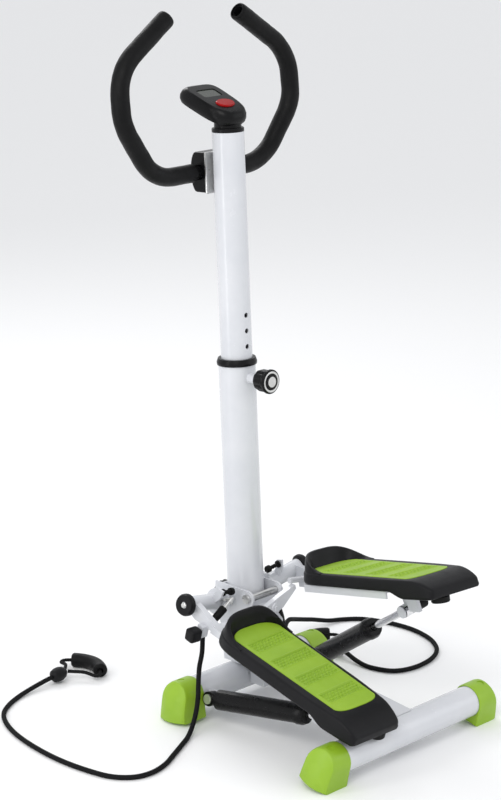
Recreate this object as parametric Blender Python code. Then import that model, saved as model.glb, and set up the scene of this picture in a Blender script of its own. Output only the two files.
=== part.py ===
"""Twist stepper with a telescopic column: two linked pedals, two dampers and two pull ropes.

Metres. +X is the user's right, +Y the way the user faces, +Z up, and the floor is z = 0.
The pedals are drawn with the left one down and the right one up.
"""

import math

import bmesh
import bpy
from mathutils import Matrix, Vector

# Base frame
TUBE_R = 0.025
TUBE_WALL = 0.002
BAR_Z = 0.0388
BAR_Y = 0.1707
HEEL_HALF = 0.203
COLUMN_HALF = 0.178
FOOT_LENGTH = 0.050
FOOT_HALF_BASE = 0.029
FOOT_TOP_R = 0.0278
FOOT_TURN = {"heel": math.radians(14), "column": math.radians(-5)}
FOOT_DROP = {"heel": 0.0327, "column": 0.0363}
MIDDLE_Y = 0.0393
GAP = 0.0004

# Column, in its own frame: z runs up the leaning tube
COLUMN_FOOT = Vector((0, 0.172, 0.0965))
LEAN = math.radians(2.96)
COLUMN_R = 0.030
MAST_R = 0.0254
COLUMN_BOTTOM = 0.040
COLUMN_TOP = 0.4640
COLLAR_HEIGHT = 0.0110
MAST_BOTTOM = 0.170
MAST_TOP = 0.8370
PIN_HEIGHT = 0.444
HOLE_PITCH = 0.0255
HOLE_R = 0.0042

# Handlebar and console
BAR_HEIGHT = 0.772
BAR_BACK = 0.047
BAR_TUBE_R = 0.011
FOAM_R = 0.0148
CONSOLE_CENTRE = Vector((0, 0.243, 0.970))
CONSOLE_TILT = math.radians(20)

# Pedal linkage, right side; the left side mirrors it
AXLE_END = Vector((0.140, 0.178, 0.1894))
AXLE_DIRECTION = Vector((1, -0.0907, 0.206)).normalized()
SWING = math.radians(13.9)
TOE = Vector((0.0995, 0.078, 0.198))
PEDAL_PITCH = math.radians(1.2)
PEDAL_YAW = math.radians(-2.5)
PEDAL_LENGTH = 0.300
PEDAL_HALF = 0.0620
TRAY_DEPTH = 0.0205
TOE_REACH = 0.0150
DAMPER_EYE = Vector((0.125, 0.131, 0.038))
ROD_EYE = Vector((0.0957, -0.1085, 0.1340))
ROCKER_CENTRE = Vector((0, 0.114, 0.165))
ROCKER_ANGLE = math.radians(19.5)

# Pull ropes
ROPE_R = 0.004

SIDES = {"left": -1, "right": 1}
SEGMENTS = 24


# ---------------------------------------------------------------- helpers

def clear_scene():
    for obj in list(bpy.data.objects):
        bpy.data.objects.remove(obj)


def material(name, colour, roughness, metallic=0.0):
    """A Principled material of one colour, made once and then reused."""
    found = bpy.data.materials.get(name)
    if found:
        return found
    made = bpy.data.materials.new(name)
    made.use_nodes = True
    shader = made.node_tree.nodes["Principled BSDF"]
    shader.inputs["Base Color"].default_value = (*colour, 1)
    shader.inputs["Roughness"].default_value = roughness
    shader.inputs["Metallic"].default_value = metallic
    made.diffuse_color = (*colour, 1)
    return made


def white_paint():
    return material("white_paint", (0.80, 0.81, 0.83), 0.28)


def lime_plastic():
    return material("lime_plastic", (0.34, 0.55, 0.04), 0.45)


def black_plastic():
    return material("black_plastic", (0.018, 0.018, 0.020), 0.45)


def black_foam():
    return material("black_foam", (0.014, 0.014, 0.015), 0.85)


def rubber():
    return material("black_rubber", (0.012, 0.012, 0.012), 0.7)


def zinc():
    return material("zinc_steel", (0.62, 0.62, 0.63), 0.28, 1.0)


def chrome():
    return material("chrome_rod", (0.75, 0.75, 0.76), 0.12, 1.0)


def frame_along(origin, direction, up=Vector((0, 0, 1))):
    """A matrix whose z axis is direction and whose y axis is as near up as it can be."""
    z_axis = Vector(direction).normalized()
    x_axis = Vector(up).cross(z_axis).normalized()
    y_axis = z_axis.cross(x_axis)
    turned = Matrix((x_axis, y_axis, z_axis)).transposed().to_4x4()
    return Matrix.Translation(origin) @ turned


def finish_mesh(bm):
    bmesh.ops.recalc_face_normals(bm, faces=bm.faces)
    return bm


def loft(rings, closed=False):
    """A closed skin through rings of equal length; closed joins the last ring to the first."""
    bm = bmesh.new()
    rows = [[bm.verts.new(point) for point in ring] for ring in rings]
    pairs = list(zip(rows, rows[1:]))
    if closed:
        pairs.append((rows[-1], rows[0]))
    for low, high in pairs:
        for i in range(len(low)):
            j = (i + 1) % len(low)
            bm.faces.new((low[i], low[j], high[j], high[i]))
    if not closed:
        bm.faces.new(rows[0])
        bm.faces.new(rows[-1])
    return finish_mesh(bm)


def circle(radius, z, count=SEGMENTS, centre=(0, 0)):
    return [
        Vector((centre[0] + radius * math.cos(a), centre[1] + radius * math.sin(a), z))
        for a in (2 * math.pi * i / count for i in range(count))
    ]


def turned(profile, place, count=SEGMENTS):
    """A solid of revolution: profile holds (radius, z) rings, in the frame place."""
    return placed(loft([circle(r, z, count) for r, z in profile]), place)


def pipe(profile, place, count=SEGMENTS):
    """A solid of revolution with a hole: profile is the closed outline, as (radius, z)."""
    rings = [circle(r, z, count) for r, z in profile]
    return placed(loft(rings, closed=True), place)


def tube(start, end, outer, inner, count=SEGMENTS):
    length = (Vector(end) - Vector(start)).length
    outline = [(outer, 0), (outer, length), (inner, length), (inner, 0)]
    return pipe(outline, frame_along(start, Vector(end) - Vector(start)), count)


def rod(start, end, radius, count=SEGMENTS):
    length = (Vector(end) - Vector(start)).length
    return turned([(radius, 0), (radius, length)], frame_along(start, Vector(end) - Vector(start)), count)


def placed(bm, matrix):
    bmesh.ops.transform(bm, matrix=matrix, verts=bm.verts)
    if matrix.determinant() < 0:
        bmesh.ops.reverse_faces(bm, faces=bm.faces)
    return bm


def box(low, high):
    low, high = Vector(low), Vector(high)
    corners = [(low.x, low.y), (high.x, low.y), (high.x, high.y), (low.x, high.y)]
    return loft([[Vector((x, y, z)) for x, y in corners] for z in (low.z, high.z)])


def prism(outline, low, high, axis="x"):
    """An outline extruded from low to high: (y, z) points along x, or (x, y) points along z."""
    rings = []
    for depth in (low, high):
        if axis == "x":
            rings.append([Vector((depth, a, b)) for a, b in outline])
        else:
            rings.append([Vector((a, b, depth)) for a, b in outline])
    return loft(rings)


def arc(centre, radius, start, end, steps):
    """Points of an arc from start to end degrees."""
    angles = [math.radians(start + (end - start) * i / steps) for i in range(steps + 1)]
    return [(centre[0] + radius * math.cos(a), centre[1] + radius * math.sin(a)) for a in angles]


def node(name, bm, paint, origin=(0, 0, 0)):
    """An object made from a bmesh in world space, with its own origin."""
    origin = Vector(origin)
    bmesh.ops.translate(bm, vec=-origin, verts=bm.verts)
    mesh = bpy.data.meshes.new(name)
    bm.to_mesh(mesh)
    bm.free()
    mesh.materials.append(paint)
    obj = bpy.data.objects.new(name, mesh)
    obj.location = origin
    bpy.context.scene.collection.objects.link(obj)
    return obj


def combine(obj, tool, operation):
    """Applies a Boolean with a bmesh in world space, and removes the tool."""
    helper = node("helper", tool, white_paint())
    bpy.context.view_layer.update()
    step = obj.modifiers.new("combine", "BOOLEAN")
    step.operation = operation
    step.solver = "EXACT"
    step.object = helper
    graph = bpy.context.evaluated_depsgraph_get()
    result = bpy.data.meshes.new_from_object(obj.evaluated_get(graph))
    obj.modifiers.clear()
    old = obj.data
    result.materials.clear()
    result.materials.append(old.materials[0])
    obj.data = result
    result.name = obj.name
    bpy.data.objects.remove(helper)


def add(obj, tool):
    combine(obj, tool, "UNION")


def cut(obj, tool):
    combine(obj, tool, "DIFFERENCE")


def round_edges(obj, width, segments=2, angle=40):
    step = obj.modifiers.new("rounding", "BEVEL")
    step.width = width
    step.segments = segments
    step.limit_method = "ANGLE"
    step.angle_limit = math.radians(angle)
    step.use_clamp_overlap = True


def mirrored(point, side):
    return Vector((side * point[0], point[1], point[2]))


def smooth_route(points, spacing):
    """Points every spacing along a Catmull-Rom curve through the given ones."""
    points = [Vector(p) for p in points]
    ends = [2 * points[0] - points[1]] + points + [2 * points[-1] - points[-2]]
    fine = []
    for a, b, c, d in zip(ends, ends[1:], ends[2:], ends[3:]):
        for i in range(24):
            t = i / 24
            fine.append(0.5 * ((2 * b) + (c - a) * t + (2 * a - 5 * b + 4 * c - d) * t * t
                               + (3 * b - 3 * c + d - a) * t ** 3))
    fine.append(points[-1])
    length = sum((q - p).length for p, q in zip(fine, fine[1:]))
    count = max(2, round(length / spacing))
    route = [fine[0]]
    walked = 0.0
    for p, q in zip(fine, fine[1:]):
        step = (q - p).length
        while step > 0 and walked + step >= length * len(route) / count - 1e-9 and len(route) < count:
            route.append(p.lerp(q, (length * len(route) / count - walked) / step))
        walked += step
    route.append(fine[-1])
    return route


def cord_tube(name, points, radius, paint, spacing):
    """A curve object along a smooth route, with a round bevel and filled caps."""
    curve = bpy.data.curves.new(name, "CURVE")
    curve.dimensions = "3D"
    curve.bevel_depth = radius
    curve.bevel_resolution = 2
    curve.use_fill_caps = True
    curve.materials.append(paint)
    route = smooth_route(points, spacing)
    spline = curve.splines.new("POLY")
    spline.points.add(len(route) - 1)
    for target, point in zip(spline.points, route):
        target.co = (*point, 1)
    obj = bpy.data.objects.new(name, curve)
    bpy.context.scene.collection.objects.link(obj)
    return obj


def swept(route, section, start_up=Vector((0, 0, 1)), closed_section=None):
    """A section, as (across, up) points, carried along a route; with closed_section it is hollow."""
    rings, inner = [], []
    up = Vector(start_up)
    for i, point in enumerate(route):
        before = route[max(i - 1, 0)]
        after = route[min(i + 1, len(route) - 1)]
        along = (after - before).normalized()
        across = along.cross(up).normalized()
        up = across.cross(along).normalized()
        rings.append([point + across * a + up * b for a, b in section])
        if closed_section:
            inner.append([point + across * a + up * b for a, b in closed_section])
    if closed_section:
        return loft(rings + inner[::-1], closed=True)
    return loft(rings)


def flat_circle(radius, count):
    return arc((0, 0), radius, 0, 360 * (count - 1) / count, count - 1)


# ---------------------------------------------------------------- base

def crossbar(name, y, half, lugs):
    """A round cross tube, open at both ends inside its feet, with the damper lugs it carries."""
    reach = half - 0.026
    obj = node(name, tube((-reach, y, BAR_Z), (reach, y, BAR_Z), TUBE_R, TUBE_R - TUBE_WALL, 32),
               white_paint(), (0, y, BAR_Z))
    for lug, hole in lugs:
        add(obj, lug)
        cut(obj, hole)
    return obj


def foot_section(x_of, scale, drop, steps=12):
    """One arch-shaped ring of a foot about its tube's centre: flat base, flared flanks, round top."""
    half_base = FOOT_HALF_BASE
    points = [(-half_base, -drop), (-half_base + 0.0010, -drop + 0.012)]
    points += [(-y, z) for y, z in arc((0, 0), FOOT_TOP_R, 0, 180, steps)]
    points += [(half_base - 0.0010, -drop + 0.012), (half_base, -drop)]
    points += [(half_base * (1 - i / 2), -drop) for i in range(1, 4)]
    points = [(y * scale, (z + 0.004) * scale - 0.004) for y, z in points]
    return [Vector((x_of(y, z), y, z)) for y, z in points]


def foot(name, end, side, y, half):
    """A moulded foot turned a little on its tube; the outer face bulges and leans in at the top."""
    drop = FOOT_DROP[end]
    inner = half - FOOT_LENGTH

    def outer_face(inset):
        def place(py, pz):
            up = (pz + drop) / (drop + FOOT_TOP_R)
            bulge = 0.0080 * (1 - (py / FOOT_HALF_BASE) ** 2) * (1 - 0.6 * up)
            return half - inset - 0.0165 * max(0.0, up) ** 1.7 + bulge
        return place

    rings = [
        foot_section(lambda py, pz: inner, 0.96, drop),
        foot_section(lambda py, pz: inner + 0.003, 1.0, drop),
        foot_section(outer_face(0.0060), 1.0, drop),
        foot_section(outer_face(0.0020), 0.97, drop),
        foot_section(outer_face(0.0003), 0.86, drop),
        foot_section(outer_face(0.0), 0.40, drop),
    ]
    turn = Matrix.Rotation(FOOT_TURN[end], 4, "X")
    place = Matrix.Translation((0, y, BAR_Z)) @ turn @ Matrix.Diagonal((side, 1, 1, 1))
    obj = node(name, placed(loft(rings), place), lime_plastic(), (side * half, y, 0))
    pocket = half - 0.0255
    cut(obj, rod((side * (inner - 0.01), y, BAR_Z), (side * pocket, y, BAR_Z), TUBE_R + GAP, 32))
    top = Vector((0, y, BAR_Z)) + turn @ Vector((side * (inner + 0.0245), 0, FOOT_TOP_R))
    up = turn @ Vector((0, 0, 1))
    cut(obj, rod(top - up * 0.0016, top + up * 0.01, 0.0060, 20))
    return obj


def spine():
    """The box tube along the middle, coped to the heel bar and rising to the post."""
    low_heel, high_heel = 0.030, 0.0645
    rise = 0.030
    outline = [
        (-BAR_Y + 0.002, low_heel), (0.1125, low_heel + rise),
        (0.1125, high_heel + rise), (-BAR_Y + 0.002, high_heel),
    ]
    obj = node("spine_tube", prism(outline, -0.020, 0.020), white_paint(), (0, 0, 0.06))
    cut(obj, rod((-0.03, -BAR_Y, BAR_Z), (0.03, -BAR_Y, BAR_Z), TUBE_R + GAP, 32))
    round_edges(obj, 0.003, 2)
    return obj


SADDLE_BOLT = Vector((0, 0.138, 0.1825))
CHEEK_IN = 0.0312
CHEEK_OUT = 0.0346
REAR_KNOB = Vector((0, 0.2130, 0.163))


def saddle():
    """The welded saddle that holds the column: post, two cheeks, front web, rear plate and base."""
    lug = arc((SADDLE_BOLT.y, SADDLE_BOLT.z), 0.0125, 90, 215, 8)
    outline = [(0.2125, 0.195)] + lug + [
        (0.131, 0.150), (0.1475, 0.120), (0.1475, 0.0645), (0.192, 0.0645),
        (0.198, 0.120), (0.2125, 0.150),
    ]
    post = [(0.113, 0.032), (0.1442, 0.032), (0.1442, 0.1205), (0.1368, 0.1205),
            (0.1368, 0.168), (0.126, 0.168), (0.126, 0.150), (0.113, 0.140)]
    obj = node("column_saddle", prism(post, -0.0220, 0.0220), white_paint(), SADDLE_BOLT)
    add(obj, prism([(0.1345, 0.128), (0.1385, 0.128), (0.1385, 0.176), (0.1345, 0.176)], -0.0330, 0.0330))
    for side in (-1, 1):
        low, high = sorted((side * CHEEK_IN, side * CHEEK_OUT))
        add(obj, prism(outline, low, high))
    add(obj, box((-0.0330, 0.1490, 0.0645), (0.0330, 0.1905, 0.0690)))
    add(obj, box((-0.0330, 0.2085, 0.1520), (0.0330, 0.2120, 0.1880)))
    for side in (-1, 1):
        cut(obj, rod((side * 0.02, SADDLE_BOLT.y, SADDLE_BOLT.z),
                     (side * 0.04, SADDLE_BOLT.y, SADDLE_BOLT.z), 0.0054, 20))
    cut(obj, rod(REAR_KNOB - Vector((0, 0.02, 0)), REAR_KNOB + Vector((0, 0.02, 0)), 0.0045, 20))
    return obj


def hex_profile(across, z, turn=0.0):
    radius = across / math.sqrt(3)
    return [Vector((radius * math.cos(a + turn), radius * math.sin(a + turn), z))
            for a in (math.radians(60 * i) for i in range(6))]


def hex_prism(start, end, across):
    direction = Vector(end) - Vector(start)
    return placed(loft([hex_profile(across, 0), hex_profile(across, direction.length)]),
                  frame_along(start, direction))


def saddle_bolt():
    """The cross bolt in front of the column, with its spacer shank, head washer and nut."""
    here = SADDLE_BOLT
    obj = node("saddle_bolt", rod(here - Vector((0.0385, 0, 0)), here + Vector((0.0420, 0, 0)), 0.005, 20),
               zinc(), here)
    add(obj, rod(here - Vector((0.0400, 0, 0)), here - Vector((CHEEK_OUT + GAP, 0, 0)), 0.0075, 24))
    add(obj, hex_prism(here + Vector((CHEEK_OUT + GAP, 0, 0)), here + Vector((0.0405, 0, 0)), 0.013))
    return obj


def fluted(radius, depth, z, lobes=10, count=40):
    points = []
    for i in range(count):
        angle = 2 * math.pi * i / count
        reach = radius - depth * (0.5 - 0.5 * math.cos(lobes * angle)) ** 2
        points.append(Vector((reach * math.cos(angle), reach * math.sin(angle), z)))
    return points


def rear_knob():
    """A fluted clamp knob behind the column; its screw goes through the saddle's rear plate."""
    place = frame_along(REAR_KNOB, Vector((0, 1, 0)))
    rings = [fluted(0.0165, 0.001, 0.004), fluted(0.0205, 0.0025, 0.007),
             fluted(0.0205, 0.0025, 0.018), fluted(0.0170, 0.001, 0.022)]
    obj = node("saddle_knob", placed(loft(rings), place), black_plastic(), REAR_KNOB)
    add(obj, turned([(0.0040, -0.0042), (0.0040, 0.006)], place, 20))
    add(obj, turned([(0.0075, 0.0006), (0.0090, 0.005)], place, 24))
    return obj


# ---------------------------------------------------------------- column and mast

COLUMN_FRAME = Matrix.Translation(COLUMN_FOOT) @ Matrix.Rotation(-LEAN, 4, "X")


def on_column(x, y, z):
    """World place of a point given in the column's frame."""
    return COLUMN_FRAME @ Vector((x, y, z))


def column_tube():
    outline = [(COLUMN_R, COLUMN_BOTTOM), (COLUMN_R, COLUMN_TOP), (MAST_R + 0.0012, COLUMN_TOP),
               (MAST_R + 0.0012, COLUMN_BOTTOM)]
    obj = node("column_tube", pipe(outline, COLUMN_FRAME, 36), white_paint(), on_column(0, 0, COLUMN_BOTTOM))
    add(obj, rod(on_column(0, -0.028, PIN_HEIGHT), on_column(0, -0.046, PIN_HEIGHT), 0.0085, 24))
    cut(obj, rod(on_column(0, -0.020, PIN_HEIGHT), on_column(0, -0.060, PIN_HEIGHT), 0.0043, 20))
    return obj


def collar():
    """The plastic guide ring on the column's mouth, which the mast slides through."""
    bore = MAST_R + 0.0003
    low = COLUMN_TOP + 0.0003
    top = COLUMN_TOP + COLLAR_HEIGHT
    outline = [(0.0322, low), (0.0326, low + 0.003), (0.0326, top - 0.006), (0.0305, top),
               (bore, top), (bore, low)]
    return node("collar_ring", pipe(outline, COLUMN_FRAME, 32), black_plastic(), on_column(0, 0, low))


def lock_knob():
    """The fluted locking knob on the column's boss, with its pin."""
    base = on_column(0, -0.0465, PIN_HEIGHT)
    toward = on_column(0, -1.0465, PIN_HEIGHT) - base
    place = frame_along(base, toward)
    rings = [fluted(0.0130, 0.0, 0.0006), fluted(0.0165, 0.0012, 0.004), fluted(0.0180, 0.0022, 0.008),
             fluted(0.0180, 0.0022, 0.021), fluted(0.0198, 0.0008, 0.0235), fluted(0.0198, 0.0, 0.0280),
             fluted(0.0180, 0.0, 0.0298)]
    obj = node("lock_knob", placed(loft(rings), place), black_plastic(), base)
    add(obj, turned([(0.0040, -0.0200), (0.0040, 0.004)], place, 20))
    add(obj, turned([(0.0130, 0.028), (0.0130, 0.0305), (0.0118, 0.0312)], place, 32))
    return obj


def mast():
    """The upper tube, with its row of locking holes facing the user."""
    outline = [(MAST_R, MAST_BOTTOM), (MAST_R, MAST_TOP), (MAST_R - TUBE_WALL, MAST_TOP),
               (MAST_R - TUBE_WALL, MAST_BOTTOM)]
    obj = node("mast_tube", pipe(outline, COLUMN_FRAME, 32), white_paint(), on_column(0, 0, MAST_BOTTOM))
    for step in range(-2, 5):
        height = PIN_HEIGHT + step * HOLE_PITCH
        cut(obj, rod(on_column(0, -0.015, height), on_column(0, -0.035, height), HOLE_R, 12))
    return obj


def mast_cap():
    """The black cap in the top of the mast that the console stands on."""
    top = MAST_TOP
    profile = [(0.0215, top - 0.022), (0.0225, top - 0.020), (0.0225, top + 0.0004),
               (0.0256, top + 0.0004), (0.0256, top + 0.0050), (0.0246, top + 0.0065)]
    return node("mast_cap", turned(profile, COLUMN_FRAME, 32), black_plastic(), on_column(0, 0, top))


CONSOLE_FRAME = Matrix.Translation(CONSOLE_CENTRE) @ Matrix.Rotation(CONSOLE_TILT, 4, "X")
CONSOLE_HALF = (0.0385, 0.0550)
WINDOW_HALF = (0.0200, 0.0120)
WINDOW_AT = 0.0190
BUTTON_AT = -0.0185
BUTTON_HALF = (0.0185, 0.0125)
CONSOLE_TOP = 0.013


def rounded_outline(half_x, half_y, z, power=3.2, count=40, shift=0.0):
    """A rounded rectangle as a superellipse, at one height."""
    points = []
    for i in range(count):
        a = 2 * math.pi * (i + 0.5) / count
        c, s = math.cos(a), math.sin(a)
        points.append(Vector((half_x * math.copysign(abs(c) ** (2 / power), c),
                              shift + half_y * math.copysign(abs(s) ** (2 / power), s), z)))
    return points


def console_outline(scale, z, count=32):
    """The console's plan at one height: squarer at the far end, rounder and narrower at the user's."""
    half_x, half_y = CONSOLE_HALF
    points = []
    for i in range(count):
        a = 2 * math.pi * (i + 0.5) / count
        c, s = math.cos(a), math.sin(a)
        power = 5.0 if s > 0 else 2.8
        y = half_y * math.copysign(abs(s) ** (2 / power), s)
        width = half_x * (0.96 + 0.04 * y / half_y)
        points.append(Vector((scale * width * math.copysign(abs(c) ** (2 / power), c), scale * y, z)))
    return points


def console_parts():
    """The console's housing, display window and push button."""
    rings = [console_outline(0.80, -0.0125), console_outline(0.93, -0.0105), console_outline(0.985, -0.0060),
             console_outline(1.0, 0.0000), console_outline(0.97, 0.0065), console_outline(0.90, 0.0115),
             console_outline(0.84, CONSOLE_TOP)]
    housing = node("console_housing", placed(loft(rings), CONSOLE_FRAME), black_plastic(), CONSOLE_CENTRE)
    neck_base = on_column(0, 0, MAST_TOP + 0.0069)
    add(housing, rod(neck_base, on_column(0, 0, MAST_TOP + 0.0230), 0.0215, 32))
    recess = [rounded_outline(WINDOW_HALF[0], WINDOW_HALF[1], z, 8, 32, WINDOW_AT) for z in (0.0095, 0.02)]
    cut(housing, placed(loft(recess), CONSOLE_FRAME))
    well = [rounded_outline(BUTTON_HALF[0], BUTTON_HALF[1], z, 2, 32, BUTTON_AT) for z in (0.0075, 0.02)]
    cut(housing, placed(loft(well), CONSOLE_FRAME))
    glass = [rounded_outline(WINDOW_HALF[0] - GAP, WINDOW_HALF[1] - GAP, z, 8, 32, WINDOW_AT)
             for z in (0.0099, 0.0118)]
    node("console_window", placed(loft(glass), CONSOLE_FRAME),
         material("display_glass", (0.42, 0.45, 0.42), 0.2), CONSOLE_FRAME @ Vector((0, WINDOW_AT, 0.0118)))
    cap = [rounded_outline(BUTTON_HALF[0] - s, BUTTON_HALF[1] - s, z, 2, 32, BUTTON_AT)
           for s, z in ((0.0005, 0.0100), (0.0005, 0.0140), (0.0020, 0.0156))]
    node("console_button", placed(loft(cap), CONSOLE_FRAME), material("red_plastic", (0.60, 0.02, 0.03), 0.4),
         CONSOLE_FRAME @ Vector((0, BUTTON_AT, 0.014)))


BAR_FRAME = Matrix.Translation(on_column(0, BAR_BACK, BAR_HEIGHT)) @ Matrix.Rotation(-LEAN, 4, "X")


def bent(points, radius, steps=4):
    """A polyline with each inner corner rounded; the points of its route."""
    corners = [Vector(p) for p in points]
    route = [corners[0]]
    for before, here, after in zip(corners, corners[1:], corners[2:]):
        a = (before - here).normalized()
        b = (after - here).normalized()
        half = a.angle(b) / 2
        reach = radius / math.tan(half)
        centre = here + (a + b).normalized() * (radius / math.sin(half))
        start, end = here + a * reach - centre, here + b * reach - centre
        turn = start.angle(end)
        for i in range(steps + 1):
            t = i / steps
            mix = (start * math.sin((1 - t) * turn) + end * math.sin(t * turn)) / math.sin(turn)
            route.append(centre + mix)
    route.append(corners[-1])
    return route


BAR_CORNERS = [(0.0, 0.0, 0.0), (0.121, -0.001, 0.0), (0.187, -0.008, 0.093), (0.185, -0.003, 0.174),
               (0.0795, 0.0, 0.244)]
BAR_BEND = 0.078


def bar_route(side):
    return [BAR_FRAME @ mirrored(p, side) for p in bent(BAR_CORNERS, BAR_BEND)]


def along_route(route, start, end):
    """The part of a route from start to end metres along it."""
    kept, walked = [], 0.0
    for p, q in zip(route, route[1:]):
        step = (q - p).length
        for mark in (start, end):
            if walked < mark <= walked + step:
                kept.append(p.lerp(q, (mark - walked) / step))
        if start < walked + step < end:
            kept.append(q)
        walked += step
    return sorted_along(kept, route)


def sorted_along(points, route):
    def distance(point):
        best, walked, found = 1e9, 0.0, 0.0
        for p, q in zip(route, route[1:]):
            span = q - p
            t = max(0.0, min(1.0, (point - p).dot(span) / span.length_squared))
            off = (p + span * t - point).length
            if off < best - 1e-7:
                best, found = off, walked + t * span.length
            walked += span.length
        return found
    return sorted(points, key=distance)


FOAM_START = 0.034


def handlebar():
    """The bent steel bar and its two foam grips."""
    right, left = bar_route(1), bar_route(-1)
    whole = left[::-1] + right[1:]
    forward = BAR_FRAME.to_3x3() @ Vector((0, 1, 0))
    node("handlebar_tube",
         swept(whole, flat_circle(BAR_TUBE_R, 10), forward, flat_circle(BAR_TUBE_R - 0.0018, 10)),
         black_plastic(), on_column(0, BAR_BACK, BAR_HEIGHT))
    for name, route in (("left", left), ("right", right)):
        length = sum((q - p).length for p, q in zip(route, route[1:]))
        part = along_route(route, FOAM_START, length - 0.0005)
        part.append(route[-1] + (route[-1] - route[-2]).normalized() * 0.0035)
        node(f"foam_grip_{name}",
             swept(part, flat_circle(FOAM_R, 12), forward, flat_circle(BAR_TUBE_R + 0.0008, 12)),
             black_foam(), on_column(0, BAR_BACK, BAR_HEIGHT))


def clamp():
    """The zinc saddle plate on the mast and the black clamp block that grips the bar."""
    centre = on_column(0, BAR_BACK, BAR_HEIGHT)
    plate = placed(box((-0.026, MAST_R + 0.0004, BAR_HEIGHT - 0.033),
                       (0.026, MAST_R + 0.0044, BAR_HEIGHT + 0.033)), COLUMN_FRAME)
    obj = node("clamp_plate", plate, zinc(), centre)
    round_edges(obj, 0.0015, 2)
    outline = [(MAST_R + 0.0049, BAR_HEIGHT - 0.032), (BAR_BACK + 0.006, BAR_HEIGHT - 0.032)]
    outline += [(BAR_BACK + 0.006 + 0.012 * math.cos(a), BAR_HEIGHT + 0.032 * math.sin(a))
                for a in (math.radians(t) for t in range(-75, 76, 15))]
    outline += [(BAR_BACK + 0.006, BAR_HEIGHT + 0.032), (MAST_R + 0.0049, BAR_HEIGHT + 0.032)]
    block = node("clamp_block", placed(prism(outline, -0.023, 0.023), COLUMN_FRAME), black_plastic(), centre)
    cut(block, rod(on_column(-0.04, BAR_BACK, BAR_HEIGHT), on_column(0.04, BAR_BACK, BAR_HEIGHT),
                   BAR_TUBE_R + 0.0006, 24))
    round_edges(block, 0.002, 2)


# ---------------------------------------------------------------- pedals and dampers

def axis_of(side):
    """The outward unit vector along a side's pedal axle."""
    return mirrored(AXLE_DIRECTION, side)


def on_axle(side, x):
    """The point of the axle's line at a distance x from the middle."""
    right = AXLE_END + AXLE_DIRECTION * ((x - AXLE_END.x) / AXLE_DIRECTION.x)
    return mirrored(right, side)


def swing_matrix(side):
    """Turns a side's level linkage to how it is drawn: left heel down, right heel up."""
    pivot = on_axle(side, 0.1)
    turn = Matrix.Rotation(-SWING, 4, axis_of(side))
    return Matrix.Translation(pivot) @ turn @ Matrix.Translation(-pivot)


def pedal_frame(side):
    """The level pedal's frame: x outward, y from toe to heel, z up, at the toe's top edge."""
    pitch, yaw = PEDAL_PITCH, PEDAL_YAW
    along = Vector((side * math.sin(yaw) * math.cos(pitch), -math.cos(yaw) * math.cos(pitch), -math.sin(pitch)))
    outward = Vector((side * math.cos(yaw), math.sin(yaw), 0))
    up = outward.cross(along) * -side
    turned_to = Matrix((outward, along, up)).transposed().to_4x4()
    return Matrix.Translation(mirrored(TOE, side)) @ turned_to


def pedal_place(side):
    return swing_matrix(side) @ pedal_frame(side)


def axle(name, side):
    """The welded axle: hub against the saddle, rope flange, bearing journal and threaded end."""
    place = frame_along(on_axle(side, 0.0385), axis_of(side))
    hub, flange, flange_end, journal, tip = 0.0170, 0.0180, 0.0225, 0.0925, 0.1035
    profile = [(0.013, 0), (0.013, hub), (0.0215, flange), (0.0215, flange_end), (0.008, flange_end),
               (0.008, journal), (0.0052, journal), (0.0052, tip)]
    obj = node(name, turned(profile, place, 28), white_paint(), on_axle(side, 0.0385))
    eye = ring_eye(side)
    cut(obj, rod(eye - axis_of(side) * 0.02, eye + axis_of(side) * 0.02, 0.0034, 16))
    return obj


def flange_centre(side):
    return on_axle(side, 0.0385) + axis_of(side) * 0.02025


RING_WAY = {-1: Vector((0, -0.93, 0.36)), 1: Vector((0, -0.45, -0.89))}


def ring_direction(side):
    """From the flange's centre to where the rope's ring hangs."""
    axis = axis_of(side)
    wanted = RING_WAY[side]
    return (wanted - axis * wanted.dot(axis)).normalized()


def ring_eye(side):
    return flange_centre(side) + ring_direction(side) * 0.0162


def axle_cap(name, side):
    """The black end cap that keeps the arm's sleeve on its axle."""
    place = frame_along(on_axle(side, 0.0385), axis_of(side))
    base = 0.0930
    outline = [(0.0165, base), (0.0182, base + 0.002), (0.0182, base + 0.008), (0.0162, base + 0.0115),
               (0.0080, base + 0.0115), (0.0075, base + 0.0095), (0.0056, base + 0.0095), (0.0056, base)]
    return node(name, pipe(outline, place, 24), black_plastic(), on_axle(side, 0.130))


PIN_R = 0.0030
EYE_BORE = 0.0064


def rod_eye(side):
    """The rod's eye on the level arm, in the plane through the damper's lower eye."""
    axis = axis_of(side)
    eye, wanted = mirrored(DAMPER_EYE, side), mirrored(ROD_EYE, side)
    return wanted - axis * (wanted - eye).dot(axis)


def rod_eye_drawn(side):
    return swing_matrix(side) @ rod_eye(side)


def side_plate(side, low, high, outline):
    """A plate square to X on the level arm, from x = low to high."""
    ends = sorted((side * low, side * high))
    return prism(outline, *ends)


def plate_across(start, thickness, outline):
    """A plate square to its thickness: its outline runs mostly along Y and Z from start."""
    normal = thickness.normalized()
    forward = (Vector((0, 1, 0)) - normal * normal.y).normalized()
    rise = forward.cross(normal)
    rise *= math.copysign(1, rise.z)
    near = [start + forward * y + rise * z for y, z in outline]
    return loft([near, [p + thickness for p in near]])


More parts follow.
